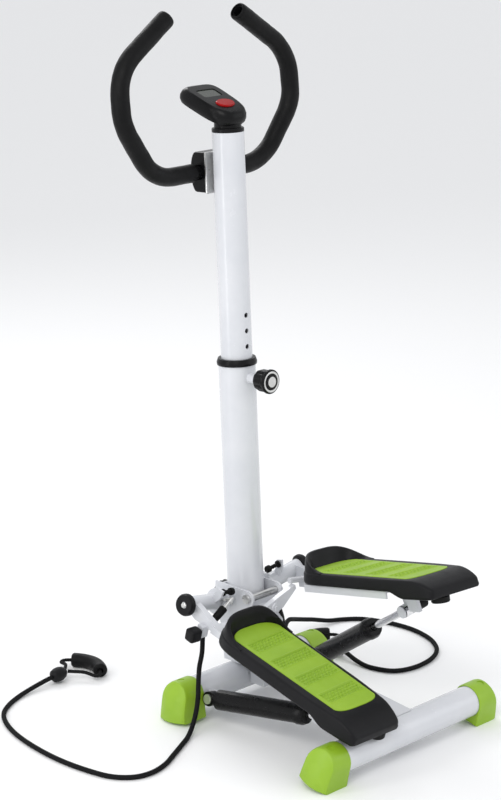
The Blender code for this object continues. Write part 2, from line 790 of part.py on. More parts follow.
def arm(name, side):
    """The welded swing arm: sleeve, outer strut, screw tab, front box, pedal plate and damper lug."""
    swing = swing_matrix(side)
    axis = axis_of(side)
    sleeve_start = on_axle(side, 0.0385) + axis * 0.0232
    sleeve_end = on_axle(side, 0.0385) + axis * 0.0922
    obj = node(name, rod(sleeve_start, sleeve_end, 0.0135, 32), white_paint(), on_axle(side, 0.1))
    frame = pedal_frame(side)
    strut = [(0.190, 0.188), (0.176, 0.194), (0.110, 0.1775), (0.110, 0.166), (0.165, 0.1655), (0.190, 0.174)]
    tab = [(0.1850, 0.1830), (0.1740, 0.1970), (0.1705, 0.2095), (0.1575, 0.2095), (0.1600, 0.1960),
           (0.1700, 0.1830)]
    add(obj, side_plate(side, 0.074, 0.078, tab))
    add(obj, side_plate(side, 0.112, 0.122, strut))
    stub = sorted((side * 0.1190, side * 0.1322))
    add(obj, box((stub[0], 0.1335, 0.1505), (stub[1], 0.1465, 0.1700)))
    under = -TRAY_DEPTH - 0.0006
    add(obj, placed(box((-0.026, -0.045, under - 0.013), (0.024, 0.022, under)), frame))
    channel = [(-0.0560, under), (0.0300, under), (0.0300, under - 0.0120), (0.0270, under - 0.0120),
               (0.0270, under - 0.0030), (-0.0530, under - 0.0030), (-0.0530, under - 0.0120),
               (-0.0560, under - 0.0120)]
    rings = [[Vector((x, y, z)) for x, z in channel] for y in (0.004, 0.2000)]
    add(obj, placed(loft(rings), frame))
    lug_rod = mirrored((0.046, ROCKER_CENTRE.y, 0.1820), side)
    add(obj, rod(lug_rod, lug_rod + Vector((side * 0.031, 0, -0.004)), 0.0048, 16))
    eye = rod_eye(side)
    lug_place = frame_along(eye + axis * 0.0085, axis)
    lug = [(0.0105 * math.cos(a), 0.0105 * math.sin(a)) for a in (math.radians(180 + 20 * i) for i in range(10))]
    lug += [(0.0105 + side * 0.0025, 0.0394), (-0.0105 + side * 0.0025, 0.0394)]
    add(obj, placed(prism(lug, 0, 0.005, "z"), lug_place))
    add(obj, rod(eye - axis * 0.0092, eye + axis * 0.0095, PIN_R, 12))
    add(obj, rod(eye - axis * 0.0105, eye - axis * 0.0085, 0.0098, 20))
    add(obj, rod(eye + axis * 0.0130, eye + axis * 0.0165, 0.0065, 16))
    hanger = [(-0.0145, 0.0010), (-0.0385, 0.0010), (-0.0385, 0.0250), (-0.0210, 0.0250), (-0.0190, 0.0404),
              (-0.0120, 0.0404)]
    add(obj, plate_across(eye - axis * 0.0050, axis * 0.0068, hanger))
    cut(obj, rod(sleeve_start - axis * 0.01, sleeve_end + axis * 0.01, 0.0083, 32))
    cut_line = sleeve_cut(side)
    for tool in cut_line:
        cut(obj, tool)
    obj.data.transform(Matrix.Translation(-obj.location) @ swing @ Matrix.Translation(obj.location))
    return obj


def sleeve_cut(side):
    """Trims the arm flush with the sleeve's inner end."""
    axis = axis_of(side)
    inner = on_axle(side, 0.0385) + axis * 0.0232
    return [rod(inner - axis * 0.006, inner, 0.030, 24)]


TOE_CORNER = 0.052
TOE_POWER = 3.2
SKIRT_START = 0.207
SKIRT_DEPTH = 0.0310


def half_width(y):
    """Half width of the pedal at a distance y behind the toe's origin."""
    half = PEDAL_HALF - 0.0080 * max(0.0, (y - 0.190) / 0.110) ** 1.5
    if y < TOE_CORNER:
        reach = (TOE_CORNER - y) / (TOE_CORNER + TOE_REACH)
        half *= max(0.0, 1 - reach ** TOE_POWER) ** (1 / TOE_POWER)
    return half


def tray_section(y, half, top, bottom):
    """One ring of the tray across its width: flat bottom, slightly leaning flanks, level top."""
    points = [(-half + 0.003, bottom), (-half, bottom + 0.004), (-half + 0.0015, top - 0.005),
              (-half + 0.005, top - 0.0008), (-half + 0.009, top), (half - 0.009, top),
              (half - 0.005, top - 0.0008), (half - 0.0015, top - 0.005), (half, bottom + 0.004),
              (half - 0.003, bottom)]
    return [Vector((x, y, z)) for x, z in points]


def tray_body():
    """The tray without its toe lip: rounded toe, level deck, and a heel that drops and deepens."""
    stations = [-0.0145, -0.0130, -0.0095, -0.0030, 0.0080, 0.0260, 0.0520, 0.1200, 0.1900, SKIRT_START,
                SKIRT_START + 0.010, SKIRT_START + 0.028, 0.2620, 0.2830, 0.2960, 0.3000]
    rings = []
    for y in stations:
        late = max(0.0, (y - 0.255) / 0.045)
        drop = 0.0150 * late ** 1.8
        deep = TRAY_DEPTH
        if y > SKIRT_START:
            deep += (SKIRT_DEPTH - TRAY_DEPTH) * min(1.0, (y - SKIRT_START) / 0.028)
        pinch = 0.0045 * late ** 4
        rings.append(tray_section(y, half_width(y) - pinch, -drop, -deep + pinch * 0.4))
    return loft(rings)


def toe_outline(t):
    """Point of the toe's rim, t from -1 at the inner side to 1 at the outer side."""
    angle = math.radians(90 * t)
    sine, cosine = math.sin(angle), math.cos(angle)
    x = (PEDAL_HALF - 0.0012) * math.copysign(abs(sine) ** (2 / TOE_POWER), sine)
    y = TOE_CORNER - (TOE_CORNER + TOE_REACH - 0.0012) * abs(cosine) ** (2 / TOE_POWER)
    return Vector((x, y, 0))


def toe_lip():
    """The raised wall around the toe, highest in front and sinking into the rim at its sides."""
    rings = []
    count = 18
    for i in range(count + 1):
        t = -1 + 2 * i / count
        here = toe_outline(t)
        inward = (Vector((0, 0.055, 0)) - here).normalized()
        rise = max(0.0, math.cos(math.radians(86 * t))) ** 0.75
        rise *= 1 - 0.16 * t
        height = 0.0004 + 0.0270 * rise
        base = here + inward * 0.0012
        lean = inward * 0.0050 * rise
        rings.append([
            base + Vector((0, 0, -0.010)),
            base + lean + Vector((0, 0, height - 0.0030)),
            base + lean + inward * 0.0025 + Vector((0, 0, height)),
            base + lean + inward * 0.0070 + Vector((0, 0, height - 0.0010)),
            base + inward * (0.0125 + 0.0060 * rise) + Vector((0, 0, -0.010)),
        ])
    return loft(rings)


PAD_INNER = -0.0535
PAD_OUTER = 0.0450
PAD_START = 0.0070
PAD_END = 0.2540


def tread_outline(grow=0.0):
    """The tread insert's outline on the deck: an arched toe end, a shallow heel end."""
    left, right = PAD_INNER - grow, PAD_OUTER + grow
    middle, half = (left + right) / 2, (right - left) / 2
    start, end = PAD_START + 0.024 - grow, PAD_END - 0.014 + grow
    front = [(middle - half * math.cos(a) ** 0.75, start - 0.024 * math.sin(a))
             for a in (math.radians(15 * i) for i in range(6))]
    front += [(middle, start - 0.024)] + [(2 * middle - x, y) for x, y in reversed(front)]
    heel = half - 0.0035
    back = [(middle + heel * math.cos(a) ** 0.6, end + 0.014 * math.sin(a))
            for a in (math.radians(18 * i) for i in range(5))]
    back += [(middle, end + 0.014)] + [(2 * middle - x, y) for x, y in reversed(back)]
    return front + back


def pedal(name, side):
    """The black tray with its toe lip, and the lime tread insert let into it."""
    place = pedal_place(side)
    tray = node(f"{name}_pedal_tray", placed(tray_body(), place), black_plastic(), on_axle(side, 0.1))
    add(tray, placed(toe_lip(), place))
    cut(tray, placed(prism(tread_outline(0.0005), -0.0052, 0.012, "z"), place))
    node(f"{name}_pedal_tread", placed(prism(tread_outline(), -0.0048, 0.0008, "z"), place),
         lime_plastic(), on_axle(side, 0.1))
    top = -SKIRT_DEPTH - 0.0004
    bumper = [(0.0140, top - 0.0088), (0.0148, top - 0.0075), (0.0148, top)]
    spot = place @ Matrix.Translation((-0.020, 0.2840, 0))
    node(f"{name}_heel_bumper", turned(bumper, spot, 24), rubber(), on_axle(side, 0.1))


def arm_stops(name, side):
    """The rubber stop behind the damper lug and the plastic plug on the arm's outer front corner."""
    swing = swing_matrix(side)
    axis = axis_of(side)
    eye = rod_eye(side)
    start = eye + Vector((0, -0.0265, 0.012)) - axis * 0.002
    stop = placed(rod(start, start + axis * 0.016, 0.0120, 20), swing)
    node(f"{name}_arm_stop", stop, rubber(), on_axle(side, 0.1))
    centre = mirrored((0.1440, 0.1400, 0.1565), side)
    block = box(centre - Vector((0.0115, 0.0100, 0.0110)), centre + Vector((0.0115, 0.0100, 0.0110)))
    plug = node(f"{name}_arm_plug", placed(block, swing), black_plastic(), on_axle(side, 0.1))
    round_edges(plug, 0.005, 3)


def stop_screw(name, side):
    """The threaded stroke screw over the sleeve, with its rubber tip facing the column."""
    swing = swing_matrix(side)
    start = mirrored((0.0722, 0.1640, 0.2035), side)
    tip = mirrored((0.0450, 0.1665, 0.1985), side)
    place = swing @ frame_along(start, tip - start)
    length = (tip - start).length
    profile = [(0.0062, 0.0), (0.0062, 0.0032)]
    for i in range(4):
        z = 0.0035 + i * 0.0040
        profile += [(0.0030, z), (0.0037, z + 0.0015), (0.0030, z + 0.0030)]
    profile += [(0.0030, length - 0.0085), (0.0062, length - 0.0080), (0.0062, length - 0.002),
                (0.0045, length)]
    obj = node(f"{name}_stop_screw", turned(profile, place, 12), rubber(), on_axle(side, 0.1))
    return obj


def damper(name, side):
    """The damper: body on its lower pin, and the rod whose eye the arm carries."""
    axis = axis_of(side)
    eye = mirrored(DAMPER_EYE, side)
    reach = rod_eye_drawn(side) - eye
    place = frame_along(eye, reach, axis)
    outline = [(0.0068, 0.006), (0.0068, 0.0125), (0.0165, 0.0170), (0.0165, 0.176), (0.0178, 0.177),
               (0.0178, 0.187), (0.0150, 0.194), (0.0067, 0.194), (0.0067, 0.040)]
    body = node(f"{name}_damper_body", turned(outline, place, 28), black_plastic(), eye)
    add(body, rod(eye - axis * 0.0075, eye + axis * 0.0075, 0.0120, 24))
    cut(body, rod(eye - axis * 0.02, eye + axis * 0.02, 0.0045, 20))
    far = reach.length
    piston = turned([(0.0060, far - 0.150), (0.0060, far - 0.006)], place, 24)
    obj = node(f"{name}_damper_rod", piston, chrome(), eye)
    add(obj, rod(eye + reach - axis * 0.0070, eye + reach + axis * 0.0070, 0.0105, 24))
    cut(obj, rod(eye + reach - axis * 0.02, eye + reach + axis * 0.02, EYE_BORE, 20))


def damper_lug(side):
    """The lug on the column bar beside a damper's lower eye, and the hole for its pin."""
    axis = axis_of(side)
    eye = mirrored(DAMPER_EYE, side)
    place = frame_along(eye - axis * 0.0135, axis)
    toward = side
    shape = [(-toward * 0.0120 * math.sin(a), 0.0120 * math.cos(a)) for a in (math.radians(15 * i) for i in range(13))]
    shape += [(toward * 0.0190, -0.0105), (toward * 0.0190, 0.0105)]
    hole = rod(eye - axis * 0.03, eye, 0.0043, 20)
    return placed(prism(shape, 0, 0.005, "z"), place), hole


def damper_pin(name, side):
    axis = axis_of(side)
    eye = mirrored(DAMPER_EYE, side)
    obj = node(f"{name}_damper_pin", rod(eye - axis * 0.0165, eye + axis * 0.0100, 0.0040, 20), zinc(), eye)
    add(obj, rod(eye + axis * 0.0080, eye + axis * 0.0110, 0.0080, 24))
    add(obj, hex_prism(eye - axis * 0.0180, eye - axis * 0.0140, 0.0110))
    return obj


def rocker():
    """The balance beam: the arms' studs rest on its two ends, so one pedal lifts the other."""
    centre = ROCKER_CENTRE
    outline = [(-0.054, 0.003), (-0.054, 0.0105), (-0.016, 0.0125), (0.016, 0.0125), (0.054, 0.0105),
               (0.054, 0.003), (0.016, -0.0105), (-0.016, -0.0105)]
    rings = [[Vector((x, y, z)) for x, z in outline] for y in (-0.0045, 0.0045)]
    place = Matrix.Translation(centre) @ Matrix.Rotation(-ROCKER_ANGLE, 4, "Y")
    obj = node("rocker_beam", placed(loft(rings), place), white_paint(), centre)
    add(obj, rod(centre - Vector((0, 0.008, 0)), centre + Vector((0, 0.0065, 0)), 0.0090, 24))
    add(obj, rod(centre - Vector((0, 0.0105, 0)), centre + Vector((0, 0.0075, 0)), 0.0050, 20))
    return obj


# ---------------------------------------------------------------- pull ropes

HOOK_HANG = {-1: Vector((-0.80, 0.10, -0.60)), 1: Vector((0.45, 0.10, -0.88))}
HOOK_STEM = 0.020
SLEEVE_LENGTH = {-1: 0.038, 1: 0.030}


def hook_line(side):
    """Centre of the hook's ring and the way its stem points."""
    centre = flange_centre(side) + ring_direction(side) * 0.0247
    return centre, HOOK_HANG[side].normalized()


def rope_hook(name, side):
    """The snap hook: a ring through the flange's hole, a neck and a swivel stem."""
    axis = axis_of(side)
    centre, hang = hook_line(side)
    radial = ring_direction(side)
    wire, major = 0.0018, 0.0085
    rings = []
    for i in range(20):
        a = 2 * math.pi * i / 20
        out = radial * math.cos(a) + axis * math.sin(a)
        up = radial.cross(axis)
        rings.append([centre + out * (major + wire * math.cos(b)) + up * wire * math.sin(b)
                      for b in (2 * math.pi * j / 8 for j in range(8))])
    obj = node(f"{name}_rope_hook", loft(rings, closed=True), zinc(), centre)
    start = centre + radial * major * 0.95
    add(obj, rod(start - hang * 0.001, start + hang * HOOK_STEM, 0.0036, 16))
    add(obj, rod(start + hang * 0.0035, start + hang * 0.0080, 0.0052, 16))
    return obj


def hook_end(side):
    centre, hang = hook_line(side)
    return centre + ring_direction(side) * 0.0081 + hang * HOOK_STEM, hang


def rope_sleeve(name, side):
    """The moulded strain relief between hook and rope."""
    end, hang = hook_end(side)
    place = frame_along(end + hang * 0.0003, hang, Vector((0, 1, 0)))
    profile = [(0.0062, 0), (0.0070, 0.003), (0.0066, 0.018), (0.0052, SLEEVE_LENGTH[side])]
    return node(f"{name}_rope_sleeve", turned(profile, place, 20), rubber(), end)


def rope_start(side):
    end, hang = hook_end(side)
    return end + hang * (SLEEVE_LENGTH[side] + 0.0012)


LEFT_ROUTE = [
    (-0.1210, 0.1560, 0.1090), (-0.1340, 0.1490, 0.0890), (-0.1460, 0.1390, 0.0680),
    (-0.1560, 0.1300, 0.0480), (-0.1680, 0.1230, 0.0270), (-0.1840, 0.1150, 0.0115),
    (-0.2050, 0.1030, 0.0050), (-0.2320, 0.0890, 0.0042), (-0.2650, 0.0720, 0.0042),
    (-0.3000, 0.0550, 0.0042), (-0.3350, 0.0480, 0.0042), (-0.3650, 0.0560, 0.0042),
    (-0.3880, 0.0830, 0.0042), (-0.3990, 0.1300, 0.0042), (-0.4030, 0.1800, 0.0042),
    (-0.4010, 0.2270, 0.0042), (-0.3940, 0.2770, 0.0042), (-0.3830, 0.3200, 0.0042),
    (-0.3660, 0.3590, 0.0042), (-0.3460, 0.3860, 0.0042), (-0.3180, 0.4060, 0.0042),
    (-0.2850, 0.4200, 0.0046), (-0.2500, 0.4260, 0.0078), (-0.2200, 0.4270, 0.0118),
    (-0.2080, 0.4270, 0.0130),
]
RIGHT_ROUTE = [
    (0.1160, 0.1940, 0.0850), (0.1350, 0.2060, 0.0815), (0.1580, 0.2230, 0.0715),
    (0.1830, 0.2420, 0.0595), (0.2080, 0.2600, 0.0478), (0.2330, 0.2740, 0.0370),
    (0.2580, 0.2830, 0.0275), (0.2830, 0.2885, 0.0190), (0.3030, 0.2880, 0.0125),
    (0.3240, 0.2850, 0.0068), (0.3500, 0.2765, 0.0043),
    (0.3760, 0.2530, 0.0042), (0.3940, 0.2110, 0.0042), (0.4000, 0.1680, 0.0042),
    (0.3960, 0.1320, 0.0042), (0.3830, 0.0960, 0.0042), (0.3570, 0.0630, 0.0042),
    (0.3230, 0.0440, 0.0042), (0.2850, 0.0370, 0.0042), (0.2520, 0.0410, 0.0042),
    (0.2300, 0.0540, 0.0042), (0.2190, 0.0760, 0.0042), (0.2150, 0.1010, 0.0042),
    (0.2170, 0.1270, 0.0070), (0.2200, 0.1470, 0.0114), (0.2210, 0.1580, 0.0130),
]
STOPPER_LENGTH = 0.029


def stopper_place(points):
    """Frame at a rope's far end, along the way the rope arrives."""
    end, before = Vector(points[-1]), Vector(points[-2])
    return frame_along(end, end - before)


def rope_stopper(name, points):
    place = stopper_place(points)
    profile = [(0.0062, 0.0004), (0.0104, 0.0036), (0.0122, 0.0100), (0.0122, 0.0170), (0.0098, 0.0245),
               (0.0060, STOPPER_LENGTH)]
    return node(f"{name}_rope_stopper", turned(profile, place, 20), black_plastic(), points[-1])


def grip_points(place, turn):
    """The bent grip's middle line, on the floor beyond the stopper, curving by turn."""
    centre = place @ Vector((0, 0, STOPPER_LENGTH + 0.054))
    along = place.to_3x3() @ Vector((0, 0, 1))
    flat = Vector((along.x, along.y, 0)).normalized()
    across = Vector((-flat.y, flat.x, 0)) * turn
    level = Vector((centre.x, centre.y, GRIP_R + 0.0003))
    points = []
    for i in range(9):
        t = -1 + 2 * i / 8
        points.append(level + across * 0.036 * t + flat * (0.014 * (1 - t * t) - 0.006))
    return points


GRIP_R = 0.0122
GRIP_BORE = 0.0050
LOOP_R = 0.0030


def rope_grip(name, points, turn):
    """The hollow foam hand grip; returns its middle line and where the loop leaves the stopper."""
    place = stopper_place(points)
    line = grip_points(place, turn)
    node(f"{name}_rope_grip", swept(line, flat_circle(GRIP_R, 12), closed_section=flat_circle(GRIP_BORE, 12)),
         black_foam(), line[4])
    stop_end = place @ Vector((0, 0, STOPPER_LENGTH))
    along = (place.to_3x3() @ Vector((0, 0, 1))).normalized()
    return line, stop_end, along


def loop_strand(line, stop_end, along, end):
    """One strand of the hand loop, from the stopper's mouth to an end of the grip."""
    tip = line[0] if end < 0 else line[-1]
    inner = line[1] if end < 0 else line[-2]
    outward = (tip - inner).normalized()
    side_step = along.cross(Vector((0, 0, 1))).normalized()
    lean = 1 if side_step.dot(outward) > 0 else -1
    start = stop_end + side_step * lean * 0.0040 + along * 0.0025
    turn = tip + outward * 0.0095 - along * 0.0050
    middle = start.lerp(turn, 0.5) + along * 0.002
    return [start, middle, turn - along * 0.0080, turn + along * 0.0015]


def loop_points(line, stop_end, along):
    """The whole hand loop: from the stopper, through the grip's bore, and back."""
    first = loop_strand(line, stop_end, along, -1)
    last = loop_strand(line, stop_end, along, 1)
    return first + line[1:-1] + last[::-1]


# ---------------------------------------------------------------- assembly

def base():
    for name, y, half in (("heel", -BAR_Y, HEEL_HALF), ("column", BAR_Y, COLUMN_HALF)):
        for side_name, side in SIDES.items():
            foot(f"{name}_foot_{side_name}", name, side, y, half)
    crossbar("heel_crossbar", -BAR_Y, HEEL_HALF, [])
    crossbar("column_crossbar", BAR_Y, COLUMN_HALF, [damper_lug(side) for side in SIDES.values()])
    spine()
    saddle()
    saddle_bolt()
    rear_knob()


def column():
    column_tube()
    collar()
    lock_knob()
    mast()
    mast_cap()
    console_parts()
    handlebar()
    clamp()


def linkage():
    for name, side in SIDES.items():
        axle(f"{name}_axle", side)
        axle_cap(f"{name}_axle_cap", side)
        arm(f"{name}_arm", side)
        pedal(name, side)
        arm_stops(name, side)
        stop_screw(name, side)
        damper(name, side)
        damper_pin(name, side)
    rocker()


def ropes():
    for name, side in SIDES.items():
        rope_hook(name, side)
        rope_sleeve(name, side)
        points = LEFT_ROUTE if side < 0 else RIGHT_ROUTE
        hook, hang = rope_start(side), hook_end(side)[1]
        cord_tube(f"{name}_rope", [hook, hook + hang * 0.014] + points, ROPE_R, rubber(), 0.018)
        rope_stopper(name, points)
        line, stop_end, along = rope_grip(name, points, 1 if side < 0 else -1)
        cord_tube(f"{name}_rope_loop", loop_points(line, stop_end, along), LOOP_R, rubber(), 0.0095)


def centre_origin():
    """Puts the origin on the floor, under the middle of the machine without its ropes."""
    for obj in bpy.data.objects:
        obj.location.y -= MIDDLE_Y


clear_scene()
base()
column()
linkage()
ropes()
centre_origin()
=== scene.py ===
"""The stepper's looks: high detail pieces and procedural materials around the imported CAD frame."""

import math

import bmesh
import bpy
from mathutils import Matrix, Vector, noise


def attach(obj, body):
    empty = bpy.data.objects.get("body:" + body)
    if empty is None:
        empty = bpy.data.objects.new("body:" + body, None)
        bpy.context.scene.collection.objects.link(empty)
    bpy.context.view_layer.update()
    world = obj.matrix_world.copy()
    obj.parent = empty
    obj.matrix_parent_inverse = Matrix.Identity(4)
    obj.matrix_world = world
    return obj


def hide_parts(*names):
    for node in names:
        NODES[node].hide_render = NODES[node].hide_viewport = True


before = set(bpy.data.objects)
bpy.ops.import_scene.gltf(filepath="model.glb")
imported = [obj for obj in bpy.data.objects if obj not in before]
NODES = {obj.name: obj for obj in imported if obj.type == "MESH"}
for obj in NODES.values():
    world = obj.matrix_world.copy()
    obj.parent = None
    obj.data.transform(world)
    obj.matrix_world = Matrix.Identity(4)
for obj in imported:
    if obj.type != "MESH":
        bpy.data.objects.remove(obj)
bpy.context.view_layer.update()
SIDES = {"left": -1, "right": 1}

# The model's origin lies this far in front of the point that the sizes below are given from.
TO_ORIGIN = Matrix.Translation((0, -0.0393, 0))

# Camera
CAMERA_PLACE = TO_ORIGIN @ Vector((-2.5432, -2.3364, 1.5041))
CAMERA_AZIMUTH = math.radians(-45.468)
CAMERA_ELEVATION = math.radians(15.644)
LENS_LENGTH = 104.07
SENSOR_WIDTH = 36

# Column and handlebar
LEAN = math.radians(2.96)
COLUMN_FRAME = TO_ORIGIN @ Matrix.Translation((0, 0.172, 0.0965)) @ Matrix.Rotation(-LEAN, 4, "X")
BAR_FRAME = COLUMN_FRAME @ Matrix.Translation((0, 0.047, 0.772))
BAR_TUBE_R = 0.011
FOAM_R = 0.0148
FOAM_START = 0.034
BAR_CORNERS = [(0.0, 0.0, 0.0), (0.121, -0.001, 0.0), (0.187, -0.008, 0.093), (0.185, -0.003, 0.174),
               (0.0795, 0.0, 0.244)]
BAR_BEND = 0.078
PIN_HEIGHT = 0.444
KNOB_BASE = 0.0465

# Pedals, right side; the left side mirrors it
AXLE_END = Vector((0.140, 0.178, 0.1894))
AXLE_DIRECTION = Vector((1, -0.0907, 0.206)).normalized()
AXLE_ROOT = 0.0385
SWING = math.radians(13.9)
TOE = Vector((0.0995, 0.078, 0.198))
PEDAL_PITCH = math.radians(1.2)
PEDAL_YAW = math.radians(-2.5)
PEDAL_HALF = 0.0620
PEDAL_END = 0.300
TAPER_START = 0.190
HEEL_TAPER = 0.0080
TRAY_DEPTH = 0.0205
SKIRT_START = 0.207
SKIRT_SWEEP = 0.034
SKIRT_DEPTH = 0.0310
DROP_START = 0.255
HEEL_DROP = 0.0150
TRAY_CREASE = 30

# The toe's outline is half of a squared-off ellipse, and the wall round it stands on that outline.
TOE_REACH = 0.0150
TOE_CORNER = 0.052
TOE_POWER = 3.2
WALL_INSET = 0.0012
WALL_HEIGHT = 0.0270
WALL_LEAN = 0.0050
WALL_ROOT = 0.010

# The tread insert, its studded bands across it, and their relief
PAD_INNER = -0.0535
PAD_OUTER = 0.0450
PAD_START = 0.0070
PAD_END = 0.2540
PAD_TOE_ARCH = 0.024
PAD_HEEL_ARCH = 0.014
PAD_TAPER = 0.0035
PAD_FIT = 0.0006
PAD_FLAT = 0.0010
PAD_ROOT = 0.0040
PAD_TRIM = 0.00015
STUD_BANDS = [(0.0440, 0.0700), (0.0960, 0.1220), (0.1480, 0.1740), (0.2000, 0.2260)]
BAND_SLANT = 0.06
BAND_RIDGE = 0.00110
BAND_RECESS = 0.0018
STUD_ROW = 0.0058
STUD_COLUMN = 0.0074
STUD_HALF = (0.0025, 0.0019)
STUD_RISE = 0.0026

# Ropes
ROPE_R = 0.004
LOOP_R = 0.003
LOOP_SPREAD = 0.0040
LOOP_MOUTH = 0.0025
LOOP_OUT = 0.0095
GRIP_R = 0.0122
GRIP_BORE = 0.0050
GRIP_HALF = 0.036
GRIP_BEYOND = 0.054
GRIP_BOW = 0.014
STOPPER_LENGTH = 0.029
STRAIGHT_START = 0.014
RING_WAY = {-1: Vector((0, -0.93, 0.36)), 1: Vector((0, -0.45, -0.89))}
HOOK_HANG = {-1: Vector((-0.80, 0.10, -0.60)), 1: Vector((0.45, 0.10, -0.88))}
HOOK_FLANGE = 0.02025
RING_REACH = 0.0247
RING_R = 0.0081
HOOK_STEM = 0.020
SLEEVE_GAP = 0.0012
SLEEVE_LENGTH = {-1: 0.038, 1: 0.030}
LEFT_ROUTE = [
    (-0.1210, 0.1560, 0.1090), (-0.1340, 0.1490, 0.0890), (-0.1460, 0.1390, 0.0680),
    (-0.1560, 0.1300, 0.0480), (-0.1680, 0.1230, 0.0270), (-0.1840, 0.1150, 0.0115),
    (-0.2050, 0.1030, 0.0050), (-0.2320, 0.0890, 0.0042), (-0.2650, 0.0720, 0.0042),
    (-0.3000, 0.0550, 0.0042), (-0.3350, 0.0480, 0.0042), (-0.3650, 0.0560, 0.0042),
    (-0.3880, 0.0830, 0.0042), (-0.3990, 0.1300, 0.0042), (-0.4030, 0.1800, 0.0042),
    (-0.4010, 0.2270, 0.0042), (-0.3940, 0.2770, 0.0042), (-0.3830, 0.3200, 0.0042),
    (-0.3660, 0.3590, 0.0042), (-0.3460, 0.3860, 0.0042), (-0.3180, 0.4060, 0.0042),
    (-0.2850, 0.4200, 0.0046), (-0.2500, 0.4260, 0.0078), (-0.2200, 0.4270, 0.0118),
    (-0.2080, 0.4270, 0.0130),
]
RIGHT_ROUTE = [
    (0.1160, 0.1940, 0.0850), (0.1350, 0.2060, 0.0815), (0.1580, 0.2230, 0.0715),
    (0.1830, 0.2420, 0.0595), (0.2080, 0.2600, 0.0478), (0.2330, 0.2740, 0.0370),
    (0.2580, 0.2830, 0.0275), (0.2830, 0.2885, 0.0190), (0.3030, 0.2880, 0.0125),
    (0.3240, 0.2850, 0.0068), (0.3500, 0.2765, 0.0043),
    (0.3760, 0.2530, 0.0042), (0.3940, 0.2110, 0.0042), (0.4000, 0.1680, 0.0042),
    (0.3960, 0.1320, 0.0042), (0.3830, 0.0960, 0.0042), (0.3570, 0.0630, 0.0042),
    (0.3230, 0.0440, 0.0042), (0.2850, 0.0370, 0.0042), (0.2520, 0.0410, 0.0042),
    (0.2300, 0.0540, 0.0042), (0.2190, 0.0760, 0.0042), (0.2150, 0.1010, 0.0042),
    (0.2170, 0.1270, 0.0070), (0.2200, 0.1470, 0.0114), (0.2210, 0.1580, 0.0130),
]


# ---------------------------------------------------------------- camera, light and floor

def set_camera():
    """A long lens behind the heels, to the left and above."""
    back = Vector((math.sin(CAMERA_AZIMUTH) * math.cos(CAMERA_ELEVATION),
                   -math.cos(CAMERA_AZIMUTH) * math.cos(CAMERA_ELEVATION),
                   math.sin(CAMERA_ELEVATION)))
    lens = bpy.data.cameras.new("camera")
    lens.lens = LENS_LENGTH
    lens.sensor_width = SENSOR_WIDTH
    lens.clip_start, lens.clip_end = 0.05, 60
    camera = bpy.data.objects.new("camera", lens)
    camera.location = CAMERA_PLACE
    camera.rotation_mode = "QUATERNION"
    camera.rotation_quaternion = (-back).to_track_quat("-Z", "Y")
    bpy.context.scene.collection.objects.link(camera)
    bpy.context.scene.camera = camera


def area_light(name, place, target, size, power, tint=(1, 1, 1)):
    """A rectangular lamp at a place, turned to a target."""
    light = bpy.data.lights.new(name, "AREA")
    light.shape = "RECTANGLE"
    light.size, light.size_y = size
    light.energy = power
    light.color = tint
    lamp = bpy.data.objects.new(name, light)
    lamp.location = place
    lamp.rotation_mode = "QUATERNION"
    lamp.rotation_quaternion = (Vector(target) - Vector(place)).to_track_quat("-Z", "Y")
    bpy.context.scene.collection.objects.link(lamp)


def set_studio():
    """An even white surround and four soft lights."""
    world = bpy.data.worlds.new("studio")
    bpy.context.scene.world = world
    world.use_nodes = True
    sky = world.node_tree.nodes["Background"]
    sky.inputs["Color"].default_value = (0.97, 0.98, 1.0, 1)
    sky.inputs["Strength"].default_value = 0.86
    bpy.context.scene.view_settings.view_transform = "Standard"
    area_light("key", (-2.2, -1.2, 2.6), (0, 0, 0.35), (1.6, 1.2), 30, (1.0, 0.985, 0.96))
    area_light("fill", (1.9, -2.2, 1.5), (0, 0, 0.4), (1.8, 1.8), 8, (0.96, 0.98, 1.0))
    area_light("rim", (0.9, 2.2, 2.3), (0, 0, 0.5), (1.4, 1.0), 18)
    area_light("streak", (-1.9, 0.5, 1.0), (0, 0.1, 0.5), (0.25, 1.9), 7)


def set_floor():
    """A pale, matt, square floor round the machine."""
    mesh = bpy.data.meshes.new("floor")
    half = 14
    corners = [(-half, -half, 0), (half, -half, 0), (half, half, 0), (-half, half, 0)]
    mesh.from_pydata(corners, [], [(0, 1, 2, 3)])
    floor = bpy.data.objects.new("floor", mesh)
    bpy.context.scene.collection.objects.link(floor)
    paint, shader, _ = new_material("floor_paint", (0.93, 0.93, 0.93), 0.75)
    shader.inputs["Specular IOR Level"].default_value = 0.2
    floor.data.materials.append(paint)


# ---------------------------------------------------------------- materials

def new_material(name, colour, roughness, metallic=0.0):
    """A plain material to build on, with its shader and its node tree."""
    made = bpy.data.materials.new(name)
    made.use_nodes = True
    shader = made.node_tree.nodes["Principled BSDF"]
    shader.inputs["Base Color"].default_value = (*colour, 1)
    shader.inputs["Roughness"].default_value = roughness
    shader.inputs["Metallic"].default_value = metallic
    made.diffuse_color = (*colour, 1)
    return made, shader, made.node_tree


def place_node(tree, stretch=(1, 1, 1)):
    """The point's place on its piece in metres, stretched along an axis for drawn or brushed marks."""
    where = tree.nodes.new("ShaderNodeTexCoord")
    spread = tree.nodes.new("ShaderNodeMapping")
    spread.inputs["Scale"].default_value = stretch
    tree.links.new(where.outputs["Object"], spread.inputs["Vector"])
    return spread.outputs["Vector"]


def noise_node(tree, where, scale, detail=2.0, roughness=0.5):
    made = tree.nodes.new("ShaderNodeTexNoise")
    made.inputs["Scale"].default_value = scale
    made.inputs["Detail"].default_value = detail
    made.inputs["Roughness"].default_value = roughness
    tree.links.new(where, made.inputs["Vector"])
    return made.outputs["Fac"]


